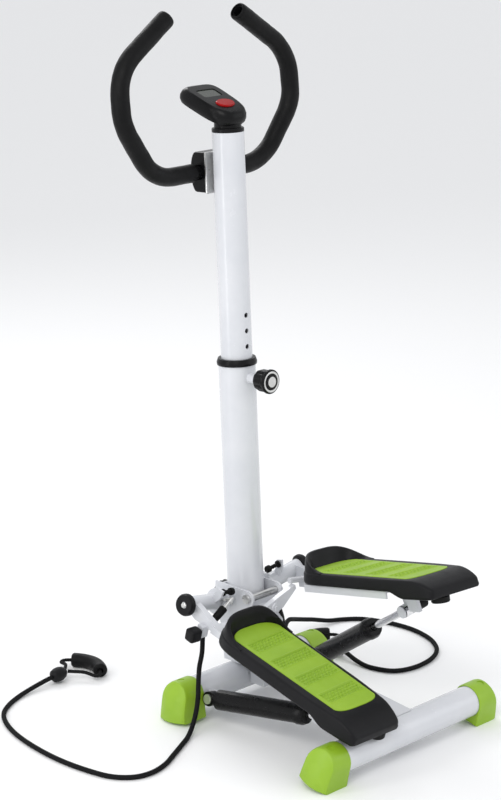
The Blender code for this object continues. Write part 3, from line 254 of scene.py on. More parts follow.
def cell_node(tree, where, scale):
    """The distance to the nearest of many scattered points: a pattern of small cells."""
    made = tree.nodes.new("ShaderNodeTexVoronoi")
    made.inputs["Scale"].default_value = scale
    tree.links.new(where, made.inputs["Vector"])
    return made.outputs["Distance"]


def ranged(tree, value, low, high, to_low, to_high):
    """A value's range from low to high, spread onto another and held at its ends."""
    made = tree.nodes.new("ShaderNodeMapRange")
    for slot_name, number in (("From Min", low), ("From Max", high), ("To Min", to_low), ("To Max", to_high)):
        made.inputs[slot_name].default_value = number
    tree.links.new(value, made.inputs["Value"])
    return made.outputs["Result"]


def patches(tree, where, scale, detail, roughness, low, high):
    """Noise spread to run from 0 to 1 between two of its levels."""
    return ranged(tree, noise_node(tree, where, scale, detail, roughness), low, high, 0, 1)


def uneven_gloss(tree, shader, value, gloss, high=0.7):
    """Roughness that wanders between the two ends of gloss, as a noise value does."""
    tree.links.new(ranged(tree, value, 0.3, high, *gloss), shader.inputs["Roughness"])


def mixed(tree, factor, first, second):
    """A colour between two, by a factor; either may be another node's colour."""
    made = tree.nodes.new("ShaderNodeMix")
    made.data_type = "RGBA"
    tree.links.new(factor, made.inputs["Factor"])
    for end, colour in (("A", first), ("B", second)):
        target = [s for s in made.inputs if s.name == end and s.type == "RGBA"][0]
        if isinstance(colour, tuple):
            target.default_value = (*colour, 1)
        else:
            tree.links.new(colour, target)
    return [s for s in made.outputs if s.type == "RGBA"][0]


def bumped(tree, height, strength, distance, before=None):
    """Surface relief from a height, over another relief if one is given."""
    made = tree.nodes.new("ShaderNodeBump")
    made.inputs["Strength"].default_value = strength
    made.inputs["Distance"].default_value = distance
    tree.links.new(height, made.inputs["Height"])
    if before:
        tree.links.new(before, made.inputs["Normal"])
    return made.outputs["Normal"]


def coated_paint(name, light, dark, gloss=(0.16, 0.30), peel_depth=0.0002, coat=0.35, shine=0.5):
    """Powder coat: a slight orange peel, uneven gloss and faint mottling."""
    made, shader, tree = new_material(name, light, 0.24)
    shader.inputs["Specular IOR Level"].default_value = shine
    where = place_node(tree)
    mottle = patches(tree, where, 9, 4, 0.6, 0.35, 0.7)
    tree.links.new(mixed(tree, mottle, light, dark), shader.inputs["Base Color"])
    uneven_gloss(tree, shader, noise_node(tree, where, 38, 5, 0.65), gloss, 0.75)
    peel = bumped(tree, noise_node(tree, where, 420, 2, 0.5), 0.22, peel_depth)
    tree.links.new(bumped(tree, noise_node(tree, where, 60, 1, 0.4), 0.10, 3 * peel_depth, peel),
                   shader.inputs["Normal"])
    shader.inputs["Coat Weight"].default_value = coat
    shader.inputs["Coat Roughness"].default_value = 0.10
    return made


def moulded(name, light, dark, gloss, grain, depth, scuff=None, shine=0.5):
    """Moulded plastic: a fine spark-eroded grain, flow marks and, on request, pale scuffs."""
    made, shader, tree = new_material(name, light, gloss[0])
    shader.inputs["Specular IOR Level"].default_value = shine
    where = place_node(tree)
    colour = mixed(tree, patches(tree, where, 14, 5, 0.6, 0.3, 0.72), light, dark)
    if scuff:
        lengthwise = place_node(tree, (1, 0.25, 1))
        worn = ranged(tree, noise_node(tree, lengthwise, 160, 6, 0.75), 0.60, 0.82, 0, 0.55)
        colour = mixed(tree, worn, colour, scuff)
    tree.links.new(colour, shader.inputs["Base Color"])
    uneven_gloss(tree, shader, noise_node(tree, where, 55, 6, 0.7), gloss)
    fine = bumped(tree, cell_node(tree, where, grain), 0.35, depth)
    tree.links.new(bumped(tree, noise_node(tree, where, grain * 0.4, 3, 0.6), 0.25, depth * 1.5, fine),
                   shader.inputs["Normal"])
    return made


def foam_material():
    """Foam with fine pores, a soft gloss and slightly greyed patches."""
    made, shader, tree = new_material("foam", (0.005, 0.005, 0.0053), 0.5)
    shader.inputs["Specular IOR Level"].default_value = 0.13
    where = place_node(tree)
    grey = patches(tree, where, 24, 5, 0.65, 0.35, 0.75)
    tree.links.new(mixed(tree, grey, (0.0035, 0.0035, 0.0038), (0.0075, 0.0075, 0.008)),
                   shader.inputs["Base Color"])
    uneven_gloss(tree, shader, noise_node(tree, where, 120, 3, 0.6), (0.36, 0.52))
    pores = bumped(tree, cell_node(tree, where, 900), 0.55, 0.0003)
    tree.links.new(bumped(tree, noise_node(tree, where, 260, 4, 0.6), 0.5, 0.0005, pores),
                   shader.inputs["Normal"])
    return made


def rubber_material():
    """Dull rubber with a little dust."""
    made, shader, tree = new_material("rubber", (0.006, 0.006, 0.006), 0.62)
    shader.inputs["Specular IOR Level"].default_value = 0.15
    where = place_node(tree)
    dust = patches(tree, where, 42, 6, 0.7, 0.45, 0.8)
    tree.links.new(mixed(tree, dust, (0.005, 0.005, 0.005), (0.014, 0.0137, 0.013)),
                   shader.inputs["Base Color"])
    uneven_gloss(tree, shader, noise_node(tree, where, 90, 4, 0.6), (0.48, 0.72))
    tree.links.new(bumped(tree, noise_node(tree, where, 700, 3, 0.6), 0.4, 0.0002), shader.inputs["Normal"])
    return made


def rope_material():
    """Woven sheath: fine yarns over the braid's own relief, with paler rubbed yarn."""
    made, shader, tree = new_material("rope_sheath", (0.008, 0.008, 0.0085), 0.8)
    shader.inputs["Specular IOR Level"].default_value = 0.10
    where = place_node(tree)
    yarn = noise_node(tree, where, 1500, 3, 0.7)
    rubbed = ranged(tree, yarn, 0.35, 0.75, 0, 1)
    tree.links.new(mixed(tree, rubbed, (0.004, 0.004, 0.0045), (0.018, 0.018, 0.019)),
                   shader.inputs["Base Color"])
    uneven_gloss(tree, shader, noise_node(tree, where, 300, 3, 0.6), (0.62, 0.86))
    tree.links.new(bumped(tree, yarn, 0.6, 0.0003), shader.inputs["Normal"])
    return made


def metal(name, colour, stain, gloss, stretch, depth):
    """Plated steel: fine marks that can be drawn out along an axis, and a little tarnish."""
    made, shader, tree = new_material(name, colour, gloss[0], 1.0)
    lines = noise_node(tree, place_node(tree, stretch), 240, 4, 0.6)
    tarnish = patches(tree, place_node(tree), 70, 6, 0.7, 0.48, 0.82)
    tree.links.new(mixed(tree, tarnish, colour, stain), shader.inputs["Base Color"])
    uneven_gloss(tree, shader, lines, gloss)
    tree.links.new(bumped(tree, lines, 0.18, depth), shader.inputs["Normal"])
    return made


def display_material():
    """A dark grey display under a clear cover, with a faint grain and no text."""
    made, shader, tree = new_material("display", (0.12, 0.135, 0.11), 0.12)
    where = place_node(tree)
    grain = ranged(tree, cell_node(tree, place_node(tree, (1, 0.5, 0.5)), 900), 0.2, 0.8, 0, 1)
    tree.links.new(mixed(tree, grain, (0.036, 0.042, 0.036), (0.064, 0.071, 0.060)),
                   shader.inputs["Base Color"])
    uneven_gloss(tree, shader, noise_node(tree, where, 60, 4, 0.6), (0.06, 0.16))
    tree.links.new(bumped(tree, noise_node(tree, where, 500, 2, 0.5), 0.03, 0.0001),
                   shader.inputs["Normal"])
    shader.inputs["Specular IOR Level"].default_value = 0.25
    shader.inputs["Coat Weight"].default_value = 0.15
    return made


def make_materials():
    """Every finish by name."""
    return {
        "white": coated_paint("white_coat", (0.66, 0.67, 0.70), (0.60, 0.615, 0.65)),
        "enamel": coated_paint("black_enamel", (0.0035, 0.0035, 0.0038), (0.0055, 0.0055, 0.006),
                               (0.24, 0.32), peel_depth=0.000008, coat=0.0, shine=0.18),
        "lime": moulded("lime_moulding", (0.285, 0.475, 0.018), (0.245, 0.425, 0.015),
                        (0.34, 0.50), 700, 0.00012),
        "tread": moulded("tread_moulding", (0.285, 0.465, 0.020), (0.235, 0.405, 0.016),
                         (0.44, 0.62), 520, 0.0002, scuff=(0.36, 0.52, 0.09)),
        "black": moulded("black_moulding", (0.006, 0.006, 0.007), (0.009, 0.009, 0.0102),
                         (0.36, 0.50), 620, 0.00012, scuff=(0.015, 0.015, 0.016), shine=0.16),
        "smooth_black": moulded("console_moulding", (0.0045, 0.0045, 0.005), (0.007, 0.007, 0.0075),
                                (0.24, 0.36), 900, 0.00004, shine=0.15),
        "red": moulded("red_moulding", (0.36, 0.003, 0.004), (0.28, 0.002, 0.003),
                       (0.16, 0.30), 800, 0.00002, shine=0.18),
        "zinc": metal("zinc_plate", (0.66, 0.66, 0.65), (0.56, 0.555, 0.54),
                      (0.26, 0.38), (1, 1, 1), 0.000004),
        "chrome": metal("chrome_plate", (0.78, 0.78, 0.79), (0.66, 0.66, 0.66),
                        (0.07, 0.16), (4, 1, 4), 0.000006),
        "foam": foam_material(),
        "rubber": rubber_material(),
        "rope": rope_material(),
        "display": display_material(),
    }


# ---------------------------------------------------------------- mesh helpers

def frame_along(origin, direction):
    """A frame at a point whose z runs along a direction, with its x level."""
    z_axis = Vector(direction).normalized()
    x_axis = Vector((0, 0, 1)).cross(z_axis).normalized()
    y_axis = z_axis.cross(x_axis)
    return Matrix.Translation(origin) @ Matrix((x_axis, y_axis, z_axis)).transposed().to_4x4()


def loft(rings, closed=False):
    """A closed skin through rings of equal length."""
    bm = bmesh.new()
    rows = [[bm.verts.new(point) for point in ring] for ring in rings]
    pairs = list(zip(rows, rows[1:]))
    if closed:
        pairs.append((rows[-1], rows[0]))
    for low, high in pairs:
        for i in range(len(low)):
            j = (i + 1) % len(low)
            bm.faces.new((low[i], low[j], high[j], high[i]))
    if not closed:
        bm.faces.new(rows[0])
        bm.faces.new(rows[-1])
    bmesh.ops.recalc_face_normals(bm, faces=bm.faces)
    return bm


def placed(bm, matrix):
    """The mesh moved by a matrix, with its faces still outward where that mirrors it."""
    bmesh.ops.transform(bm, matrix=matrix, verts=bm.verts)
    if matrix.determinant() < 0:
        bmesh.ops.reverse_faces(bm, faces=bm.faces)
    return bm


def soften(mesh, angle):
    """Smooth shading, but crisp where two faces meet at more than this angle."""
    for face in mesh.polygons:
        face.use_smooth = True
    mesh.set_sharp_from_angle(angle=math.radians(angle))


def piece(name, bm, paint, body, stands_for=(), angle=38):
    """A shown object from a mesh, riding a body; stands_for names the CAD nodes that it replaces."""
    mesh = bpy.data.meshes.new(name)
    bm.to_mesh(mesh)
    bm.free()
    mesh.materials.append(paint)
    soften(mesh, angle)
    obj = bpy.data.objects.new(name, mesh)
    bpy.context.scene.collection.objects.link(obj)
    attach(obj, body)
    if stands_for:
        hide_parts(*stands_for)
    return obj


def combine(obj, tool, operation):
    """Joins a mesh to an object, or cuts it out of it."""
    mesh = bpy.data.meshes.new("helper")
    tool.to_mesh(mesh)
    tool.free()
    helper = bpy.data.objects.new("helper", mesh)
    bpy.context.scene.collection.objects.link(helper)
    step = obj.modifiers.new("combine", "BOOLEAN")
    step.operation = operation
    step.solver = "EXACT"
    step.object = helper
    bpy.context.view_layer.update()
    result = bpy.data.meshes.new_from_object(obj.evaluated_get(bpy.context.evaluated_depsgraph_get()))
    obj.modifiers.clear()
    paint = obj.data.materials[0]
    result.materials.clear()
    result.materials.append(paint)
    obj.data = result
    bpy.data.objects.remove(helper)
    soften(obj.data, TRAY_CREASE)


def angles_round(count):
    return [2 * math.pi * i / count for i in range(count)]


def circle(radius, z, count):
    return [Vector((radius * math.cos(a), radius * math.sin(a), z)) for a in angles_round(count)]


def turned(profile, place, count):
    """A solid of revolution from (radius, z) points, closed by flat ends."""
    return placed(loft([circle(r, z, count) for r, z in profile]), place)


def pipe(profile, place, count):
    """A ring of revolution whose section is the closed (radius, z) profile."""
    return placed(loft([circle(r, z, count) for r, z in profile], closed=True), place)


def mirrored(point, side):
    return Vector((side * point[0], point[1], point[2]))


def way_length(points):
    return sum((q - p).length for p, q in zip(points, points[1:]))


def smooth_route(points, spacing):
    """Points every spacing along a Catmull-Rom curve through the given ones."""
    points = [Vector(p) for p in points]
    ends = [2 * points[0] - points[1]] + points + [2 * points[-1] - points[-2]]
    fine = []
    for a, b, c, d in zip(ends, ends[1:], ends[2:], ends[3:]):
        for i in range(24):
            t = i / 24
            fine.append(0.5 * ((2 * b) + (c - a) * t + (2 * a - 5 * b + 4 * c - d) * t * t
                               + (3 * b - 3 * c + d - a) * t ** 3))
    fine.append(points[-1])
    return even_steps(fine, spacing)


def even_steps(fine, spacing):
    """The same route with its points evenly apart, as near to spacing as divides it."""
    length = way_length(fine)
    count = max(2, round(length / spacing))
    route, walked = [fine[0]], 0.0
    for p, q in zip(fine, fine[1:]):
        step = (q - p).length
        while step > 0 and len(route) < count and walked + step >= length * len(route) / count - 1e-9:
            route.append(p.lerp(q, (length * len(route) / count - walked) / step))
        walked += step
    route.append(fine[-1])
    return route


def carried_frames(route, up):
    """(point, across, up) at each point of a route, without twist."""
    frames = []
    up = Vector(up)
    for i, point in enumerate(route):
        along = (route[min(i + 1, len(route) - 1)] - route[max(i - 1, 0)]).normalized()
        across = along.cross(up).normalized()
        up = across.cross(along).normalized()
        frames.append((point, across, up))
    return frames


# ---------------------------------------------------------------- handlebar foam

def bent(points, radius, steps):
    """A polyline with each inner corner rounded; the points of its route."""
    corners = [Vector(p) for p in points]
    route = [corners[0]]
    for before, here, after in zip(corners, corners[1:], corners[2:]):
        a = (before - here).normalized()
        b = (after - here).normalized()
        half = a.angle(b) / 2
        reach = radius / math.tan(half)
        centre = here + (a + b).normalized() * (radius / math.sin(half))
        start, end = here + a * reach - centre, here + b * reach - centre
        turn = start.angle(end)
        for i in range(steps + 1):
            t = i / steps
            swung = start * math.sin((1 - t) * turn) + end * math.sin(t * turn)
            route.append(centre + swung / math.sin(turn))
    route.append(corners[-1])
    return route


def foam_sleeve(name, route, up, count, radius_at, bore, trims, paint, body, stands_for):
    """A hollow sleeve along a route; trims takes a little off the radius at each of its end rings."""
    frames = carried_frames(route, up)
    last = len(frames) - 1
    outer, inner = [], []
    for i, (point, across, up) in enumerate(frames):
        trim = trims.get(min(i, last - i), 0.0)
        ways = [across * math.cos(a) + up * math.sin(a) for a in angles_round(count)]
        outer.append([point + out * (radius_at(point, out) - trim) for out in ways])
        inner.append([point + out * bore for out in ways])
    obj = piece(name, loft(outer + inner[::-1], closed=True), paint, body, (stands_for,), 60)
    return obj


def bar_foam_radius(point, out):
    """The foam's radius on the bar: softly uneven, as soft foam stretched over a tube is."""
    spot = point + out * FOAM_R
    return FOAM_R + 0.00055 * noise.noise(spot * 34) + 0.00030 * noise.noise(spot * 85 + Vector((7, 3, 1)))


def foam_grip(side_name, side, paints):
    """The foam sleeve on one arm of the bar, reaching 3 mm past the tube's open end."""
    step = 0.0022
    route = even_steps([BAR_FRAME @ mirrored(p, side) for p in bent(BAR_CORNERS, BAR_BEND, 24)], step)
    route = route[round(FOAM_START / step):]
    for further in (0.0020, 0.0010):
        route.append(route[-1] + (route[-1] - route[-2]).normalized() * further)
    foam_sleeve(f"foam_grip_{side_name}_skin", route, BAR_FRAME.to_3x3() @ Vector((0, 1, 0)), 44,
                bar_foam_radius, BAR_TUBE_R + 0.0004, {0: 0.0022, 1: 0.0008, 2: 0.0002},
                paints["foam"], "handlebar", f"foam_grip_{side_name}")


# ---------------------------------------------------------------- pedals

def on_axle(side, x):
    """The point of an axle's middle line at a distance x from the machine's middle."""
    return mirrored(AXLE_END + AXLE_DIRECTION * ((x - AXLE_END.x) / AXLE_DIRECTION.x), side)


def pedal_place(side):
    """The drawn pedal's frame: x outward, y from toe to heel, z up, at the toe's top edge."""
    along = Vector((side * math.sin(PEDAL_YAW) * math.cos(PEDAL_PITCH),
                    -math.cos(PEDAL_YAW) * math.cos(PEDAL_PITCH), -math.sin(PEDAL_PITCH)))
    outward = Vector((side * math.cos(PEDAL_YAW), math.sin(PEDAL_YAW), 0))
    up = outward.cross(along) * -side
    level = Matrix.Translation(mirrored(TOE, side)) @ Matrix((outward, along, up)).transposed().to_4x4()
    pivot = on_axle(side, 0.1)
    swing = Matrix.Rotation(-SWING, 4, mirrored(AXLE_DIRECTION, side))
    return TO_ORIGIN @ Matrix.Translation(pivot) @ swing @ Matrix.Translation(-pivot) @ level


def half_width(y):
    """Half of the tray's width at a distance y behind the toe."""
    half = PEDAL_HALF - HEEL_TAPER * max(0.0, (y - TAPER_START) / (PEDAL_END - TAPER_START)) ** 1.5
    if y < TOE_CORNER:
        reach = (TOE_CORNER - y) / (TOE_CORNER + TOE_REACH)
        half *= max(0.0, 1 - reach ** TOE_POWER) ** (1 / TOE_POWER)
    return half


def tray_section(y, half, top, bottom):
    """One ring of the tray: flat bottom, slightly leaning flanks, a rounded shoulder and a level deck."""
    right = [(half - 0.0034, bottom), (half - 0.0014, bottom + 0.0009), (half - 0.0002, bottom + 0.0030),
             (half, bottom + 0.0050), (half - 0.0015, top - 0.0058)]
    for i in range(7):
        a = math.radians(15 * i)
        right.append((half - 0.0070 + 0.0055 * math.cos(a), top - 0.0042 + 0.0042 * math.sin(a)))
    right.append((half - 0.0100, top))
    points = [(-x, z) for x, z in right] + right[::-1]
    return [Vector((x, y, z)) for x, z in points]


def tray_stations():
    """Where the tray's rings stand along y: close together where its outline turns."""
    toe = [-TOE_REACH + d for d in (0.0002, 0.0004, 0.0009, 0.0018, 0.0032, 0.0055, 0.0090, 0.0140)]
    toe += [0.0050, 0.0120, 0.0200, 0.0300, 0.0410, TOE_CORNER]
    deck = [0.060 + 0.012 * i for i in range(12)]
    skirt = [SKIRT_START + 0.0035 * i for i in range(26)]
    return toe + deck + skirt + [PEDAL_END - d for d in (0.0025, 0.0012, 0.0004, 0.0)]


def tray_body():
    """Rounded toe, level deck, and a heel that drops and deepens in one smooth sweep."""
    rings = []
    for y in tray_stations():
        late = max(0.0, (y - DROP_START) / (PEDAL_END - DROP_START))
        t = min(1.0, max(0.0, (y - SKIRT_START) / SKIRT_SWEEP))
        deep = TRAY_DEPTH + (SKIRT_DEPTH - TRAY_DEPTH) * t * t * (3 - 2 * t)
        end = max(0.0, (y - PEDAL_END) / 0.006 + 1)
        pinch = 0.0012 * late ** 4 + 0.0042 * (1 - math.sqrt(max(0.0, 1 - end ** 2)))
        top = -HEEL_DROP * late ** 1.8 - pinch * 0.7
        rings.append(tray_section(y, half_width(y) - pinch, top, -deep + pinch * 0.5))
    return loft(rings)


def toe_outline(t):
    """A point of the toe's edge: t is -1 where it ends on the inner side and 1 on the outer."""
    angle = math.radians(90 * t)
    sine, cosine = math.sin(angle), math.cos(angle)
    x = (PEDAL_HALF - WALL_INSET) * math.copysign(abs(sine) ** (2 / TOE_POWER), sine)
    y = TOE_CORNER - (TOE_CORNER + TOE_REACH - WALL_INSET) * abs(cosine) ** (2 / TOE_POWER)
    return Vector((x, y, 0))


def wall_section(here, rise, height):
    """One ring of the toe's wall: a leaning outside, a rolled top edge and a filleted foot."""
    inward = (Vector((0, 0.055, 0)) - here).normalized()
    full = min(1.0, height / 0.0050)
    foot = 0.0125 + 0.0060 * rise

    def at(inset, z, lean=1.0):
        return here + inward * (WALL_INSET + WALL_LEAN * rise * lean + inset) + Vector((0, 0, z))

    return [
        at(0, -WALL_ROOT, 0), at(0, height * 0.35, 0.45), at(0, height - 0.0030 * full),
        at(0.0004, height - 0.0016 * full), at(0.0013, height - 0.0004 * full), at(0.0026, height),
        at(0.0046, height - 0.0001 * full), at(0.0062, height - 0.0007 * full),
        at(0.0072, height - 0.0020 * full), at(0.0082 + 0.0012 * rise, height * 0.62 - 0.0010 * full),
        at(0.0105 + 0.0034 * rise, height * 0.20 - 0.0010, 0.6), at(foot, -0.0008, 0.2),
        at(foot, -WALL_ROOT, 0),
    ]


def toe_wall():
    """The raised wall round the toe, highest in front and a little higher on the inner side."""
    rings = []
    count = 90
    for i in range(count + 1):
        t = -1 + 2 * i / count
        rise = max(0.0, math.cos(math.radians(90 * t))) ** 0.85 * (1 - 0.16 * t)
        rings.append(wall_section(toe_outline(t), rise, 0.0004 + WALL_HEIGHT * rise))
    return loft(rings)


def tread_outline(grow, steps=18):
    """The tread insert's outline on the deck: an arched toe end, a shallow heel end."""
    middle, half = (PAD_INNER + PAD_OUTER) / 2, (PAD_OUTER - PAD_INNER) / 2 + grow
    start, end = PAD_START + PAD_TOE_ARCH - grow, PAD_END - PAD_HEEL_ARCH + grow
    quarter = [math.pi / 2 * i / steps for i in range(steps)]
    front = [(middle - half * math.cos(a) ** 0.75, start - PAD_TOE_ARCH * math.sin(a)) for a in quarter]
    front += [(middle, start - PAD_TOE_ARCH)] + [(2 * middle - x, y) for x, y in reversed(front)]
    heel = half - PAD_TAPER
    back = [(middle + heel * math.cos(a) ** 0.6, end + PAD_HEEL_ARCH * math.sin(a)) for a in quarter]
    back += [(middle, end + PAD_HEEL_ARCH)] + [(2 * middle - x, y) for x, y in reversed(back)]
    return front + back


def width_at(y):
    """The tread's (left, right) edges at a distance y behind the toe."""
    middle, half = (PAD_INNER + PAD_OUTER) / 2, (PAD_OUTER - PAD_INNER) / 2
    start, end = PAD_START + PAD_TOE_ARCH, PAD_END - PAD_HEEL_ARCH
    if y < start:
        reach = half * math.sqrt(max(0.0, 1 - ((start - y) / PAD_TOE_ARCH) ** 2)) ** 0.75
    elif y > end:
        reach = (half - PAD_TAPER) * math.sqrt(max(0.0, 1 - ((y - end) / PAD_HEEL_ARCH) ** 2)) ** 0.6
    else:
        reach = half - PAD_TAPER * (y - start) / (end - start)
    return middle - reach, middle + reach


def band_depth(x, y):
    """How far a point lies inside the nearest studded band: positive inside, negative outside."""
    y = y - BAND_SLANT * x
    return max(min(y - low, high - y) for low, high in STUD_BANDS)


def rounding(inward, reach):
    """How far a rounded rim has fallen, from 1 at the edge to 0 at reach inward of it."""
    return 1 - math.sqrt(max(0.0, 1 - (1 - min(inward, reach) / reach) ** 2))


def stud_height(x, y):
    """The height of the slanting oval stud at a point, which is 0 between the studs."""
    row = (y - BAND_SLANT * x) / STUD_ROW
    column = x / STUD_COLUMN + (0.5 if math.floor(row) % 2 else 0.0)
    u = (column - math.floor(column) - 0.5) * STUD_COLUMN
    v = (row - math.floor(row) - 0.5) * STUD_ROW
    u, v = u * 0.8 + v * 0.35, v - u * 0.25
    return STUD_RISE * math.sqrt(max(0.0, 1 - (u / STUD_HALF[0]) ** 2 - (v / STUD_HALF[1]) ** 2))


def tread_height(x, y, left, right):
    """Relief over the tread: recessed bands with ridged borders and studs, and rounded long rims."""
    inside = band_depth(x, y)
    across = min(x - left, right - x)
    fade = min(1.0, max(0.0, (across - 0.004) / 0.003))
    height = PAD_FLAT + BAND_RIDGE * math.exp(-(inside / 0.0011) ** 2) * fade
    if inside > 0.0018 and across > 0.0075:
        height += stud_height(x, y) - BAND_RECESS * min(1.0, (inside - 0.0018) / 0.0008)
    return height - 0.0011 * rounding(across, 0.0022)


def tread_skin():
    """The tread as one closed solid with its relief in the mesh."""
    rows, columns = 330, 128
    bm = bmesh.new()
    grid = []
    for i in range(rows + 1):
        y = PAD_START + PAD_TRIM + (PAD_END - PAD_START - 2 * PAD_TRIM) * i / rows
        left, right = width_at(y)
        drop = 0.0009 * rounding(min(y - PAD_START, PAD_END - y), 0.0018)
        line = []
        for j in range(columns + 1):
            x = left + (right - left) * j / columns
            line.append(bm.verts.new((x, y, tread_height(x, y, left, right) - drop)))
        grid.append(line)
    for low, high in zip(grid, grid[1:]):
        for j in range(columns):
            bm.faces.new((low[j], low[j + 1], high[j + 1], high[j]))
    rim = grid[0] + [line[-1] for line in grid[1:-1]]
    rim += grid[-1][::-1] + [line[0] for line in grid[-2:0:-1]]
    floor = [bm.verts.new((v.co.x, v.co.y, -PAD_ROOT)) for v in rim]
    for i in range(len(rim)):
        j = (i + 1) % len(rim)
        bm.faces.new((rim[j], rim[i], floor[i], floor[j]))
    bm.faces.new(floor[::-1])
    bmesh.ops.recalc_face_normals(bm, faces=bm.faces)
    return bm


def tread_pocket():
    """The room for the tread insert, cut out of the tray's deck."""
    outline = tread_outline(PAD_FIT)
    return loft([[Vector((x, y, z)) for x, y in outline] for z in (-PAD_ROOT - PAD_FIT, 0.012)])


def pedal(side_name, side, paints):
    """The tray with its toe wall, and the tread insert in its pocket."""
    place = pedal_place(side)
    body = f"{side_name}_pedal"
    tray = piece(f"{side_name}_tray_shell", tray_body(), paints["black"], body,
                 (f"{side_name}_pedal_tray",), TRAY_CREASE)
    combine(tray, toe_wall(), "UNION")
    combine(tray, tread_pocket(), "DIFFERENCE")
    tray.data.transform(place)
    if place.determinant() < 0:
        tray.data.flip_normals()
    soften(tray.data, TRAY_CREASE)
    piece(f"{side_name}_tread_skin", placed(tread_skin(), place), paints["tread"], body,
          (f"{side_name}_pedal_tread",), 50)


# ---------------------------------------------------------------- small fittings

def knob_plates(paints):
    """The lock knob's bright centre plate and the bright ring round it."""
    base = COLUMN_FRAME @ Vector((0, -KNOB_BASE, PIN_HEIGHT))
    place = frame_along(base, COLUMN_FRAME.to_3x3() @ Vector((0, -1, 0)))
    centre = [(0.0086, 0.0309), (0.0086, 0.0313), (0.0083, 0.0316), (0.0070, 0.0317)]
    piece("lock_knob_plate", turned(centre, place, 48), paints["zinc"], "lock_knob")
    ring = [(0.0168, 0.0296), (0.0168, 0.0300), (0.0165, 0.0302),
            (0.0140, 0.0302), (0.0137, 0.0300), (0.0137, 0.0296)]
    piece("lock_knob_ring", pipe(ring, place, 64), paints["zinc"], "lock_knob")


def axle_nut(side_name, side, paints):
    """The recessed washer and small hexagon nut in the middle of an axle's end cap."""
    place = TO_ORIGIN @ frame_along(on_axle(side, AXLE_ROOT), mirrored(AXLE_DIRECTION, side))
    washer = [(0.0054, 0.1022), (0.0080, 0.1022), (0.0080, 0.1041), (0.0054, 0.1041)]
    piece(f"{side_name}_axle_washer", pipe(washer, place, 40), paints["black"], "frame")
    nut = [(0.0048, 0.1030), (0.0048, 0.1052), (0.0040, 0.1058)]
    piece(f"{side_name}_axle_nut", turned(nut, place, 6), paints["zinc"], "frame", angle=20)


# ---------------------------------------------------------------- ropes

def ring_direction(side):
    """The way from the axle to the hook's ring, square to the axle."""
    axis = mirrored(AXLE_DIRECTION, side)
    wanted = RING_WAY[side]
    return (wanted - axis * wanted.dot(axis)).normalized()


def rope_start(side):
    """Where the rope leaves its sleeve, and the way it points, before the origin's shift."""
    flange = on_axle(side, AXLE_ROOT) + mirrored(AXLE_DIRECTION, side) * HOOK_FLANGE
    centre = flange + ring_direction(side) * RING_REACH
    hang = HOOK_HANG[side].normalized()
    hung = hang * (HOOK_STEM + SLEEVE_LENGTH[side] + SLEEVE_GAP)
    return centre + ring_direction(side) * RING_R + hung, hang


def braided(route, radius, count, pitch, yarns, relief):
    """A round cord with the crossing yarns of its sheath raised on it, closed at both ends."""
    frames = carried_frames(route, (0, 0.3, 1))
    rings, walked = [], 0.0
    for i, (point, across, up) in enumerate(frames):
        if i:
            walked += (point - frames[i - 1][0]).length
        ring = []
        turn = 2 * math.pi * walked / pitch
        for a in angles_round(count):
            weave = max(math.cos(yarns * (a + turn)), math.cos(yarns * (a - turn)))
            reach = radius - relief + relief * weave
            ring.append(point + (across * math.cos(a) + up * math.sin(a)) * reach)
        rings.append(ring)
    return loft(rings)


def grip_points(place, turn):
    """The bent grip's middle line, on the floor beyond the stopper; turn, 1 or -1, swaps its ends."""
    centre = place @ Vector((0, 0, STOPPER_LENGTH + GRIP_BEYOND))
    along = place.to_3x3() @ Vector((0, 0, 1))
    flat = Vector((along.x, along.y, 0)).normalized()
    across = Vector((-flat.y, flat.x, 0)) * turn
    level = Vector((centre.x, centre.y, GRIP_R + 0.0003))
    points = []
    for i in range(9):
        t = -1 + 2 * i / 8
        points.append(level + across * GRIP_HALF * t + flat * (GRIP_BOW * (1 - t * t) - 0.006))
    return points


def loop_strand(line, stop_end, along, end):
    """One strand of the hand loop, from the stopper's mouth to an end of the grip."""
    tip = line[0] if end < 0 else line[-1]
    inner = line[1] if end < 0 else line[-2]
    outward = (tip - inner).normalized()
    side_step = along.cross(Vector((0, 0, 1))).normalized()
    lean = 1 if side_step.dot(outward) > 0 else -1
    start = stop_end + side_step * lean * LOOP_SPREAD + along * LOOP_MOUTH
    turn = tip + outward * LOOP_OUT - along * 0.0050
    middle = start.lerp(turn, 0.5) + along * 0.002
    return [start, middle, turn - along * 0.0080, turn + along * 0.0015]


def hand_grip_radius(point, out):
    return GRIP_R - 0.0002 + 0.0003 * noise.noise((point + out * GRIP_R) * 60)


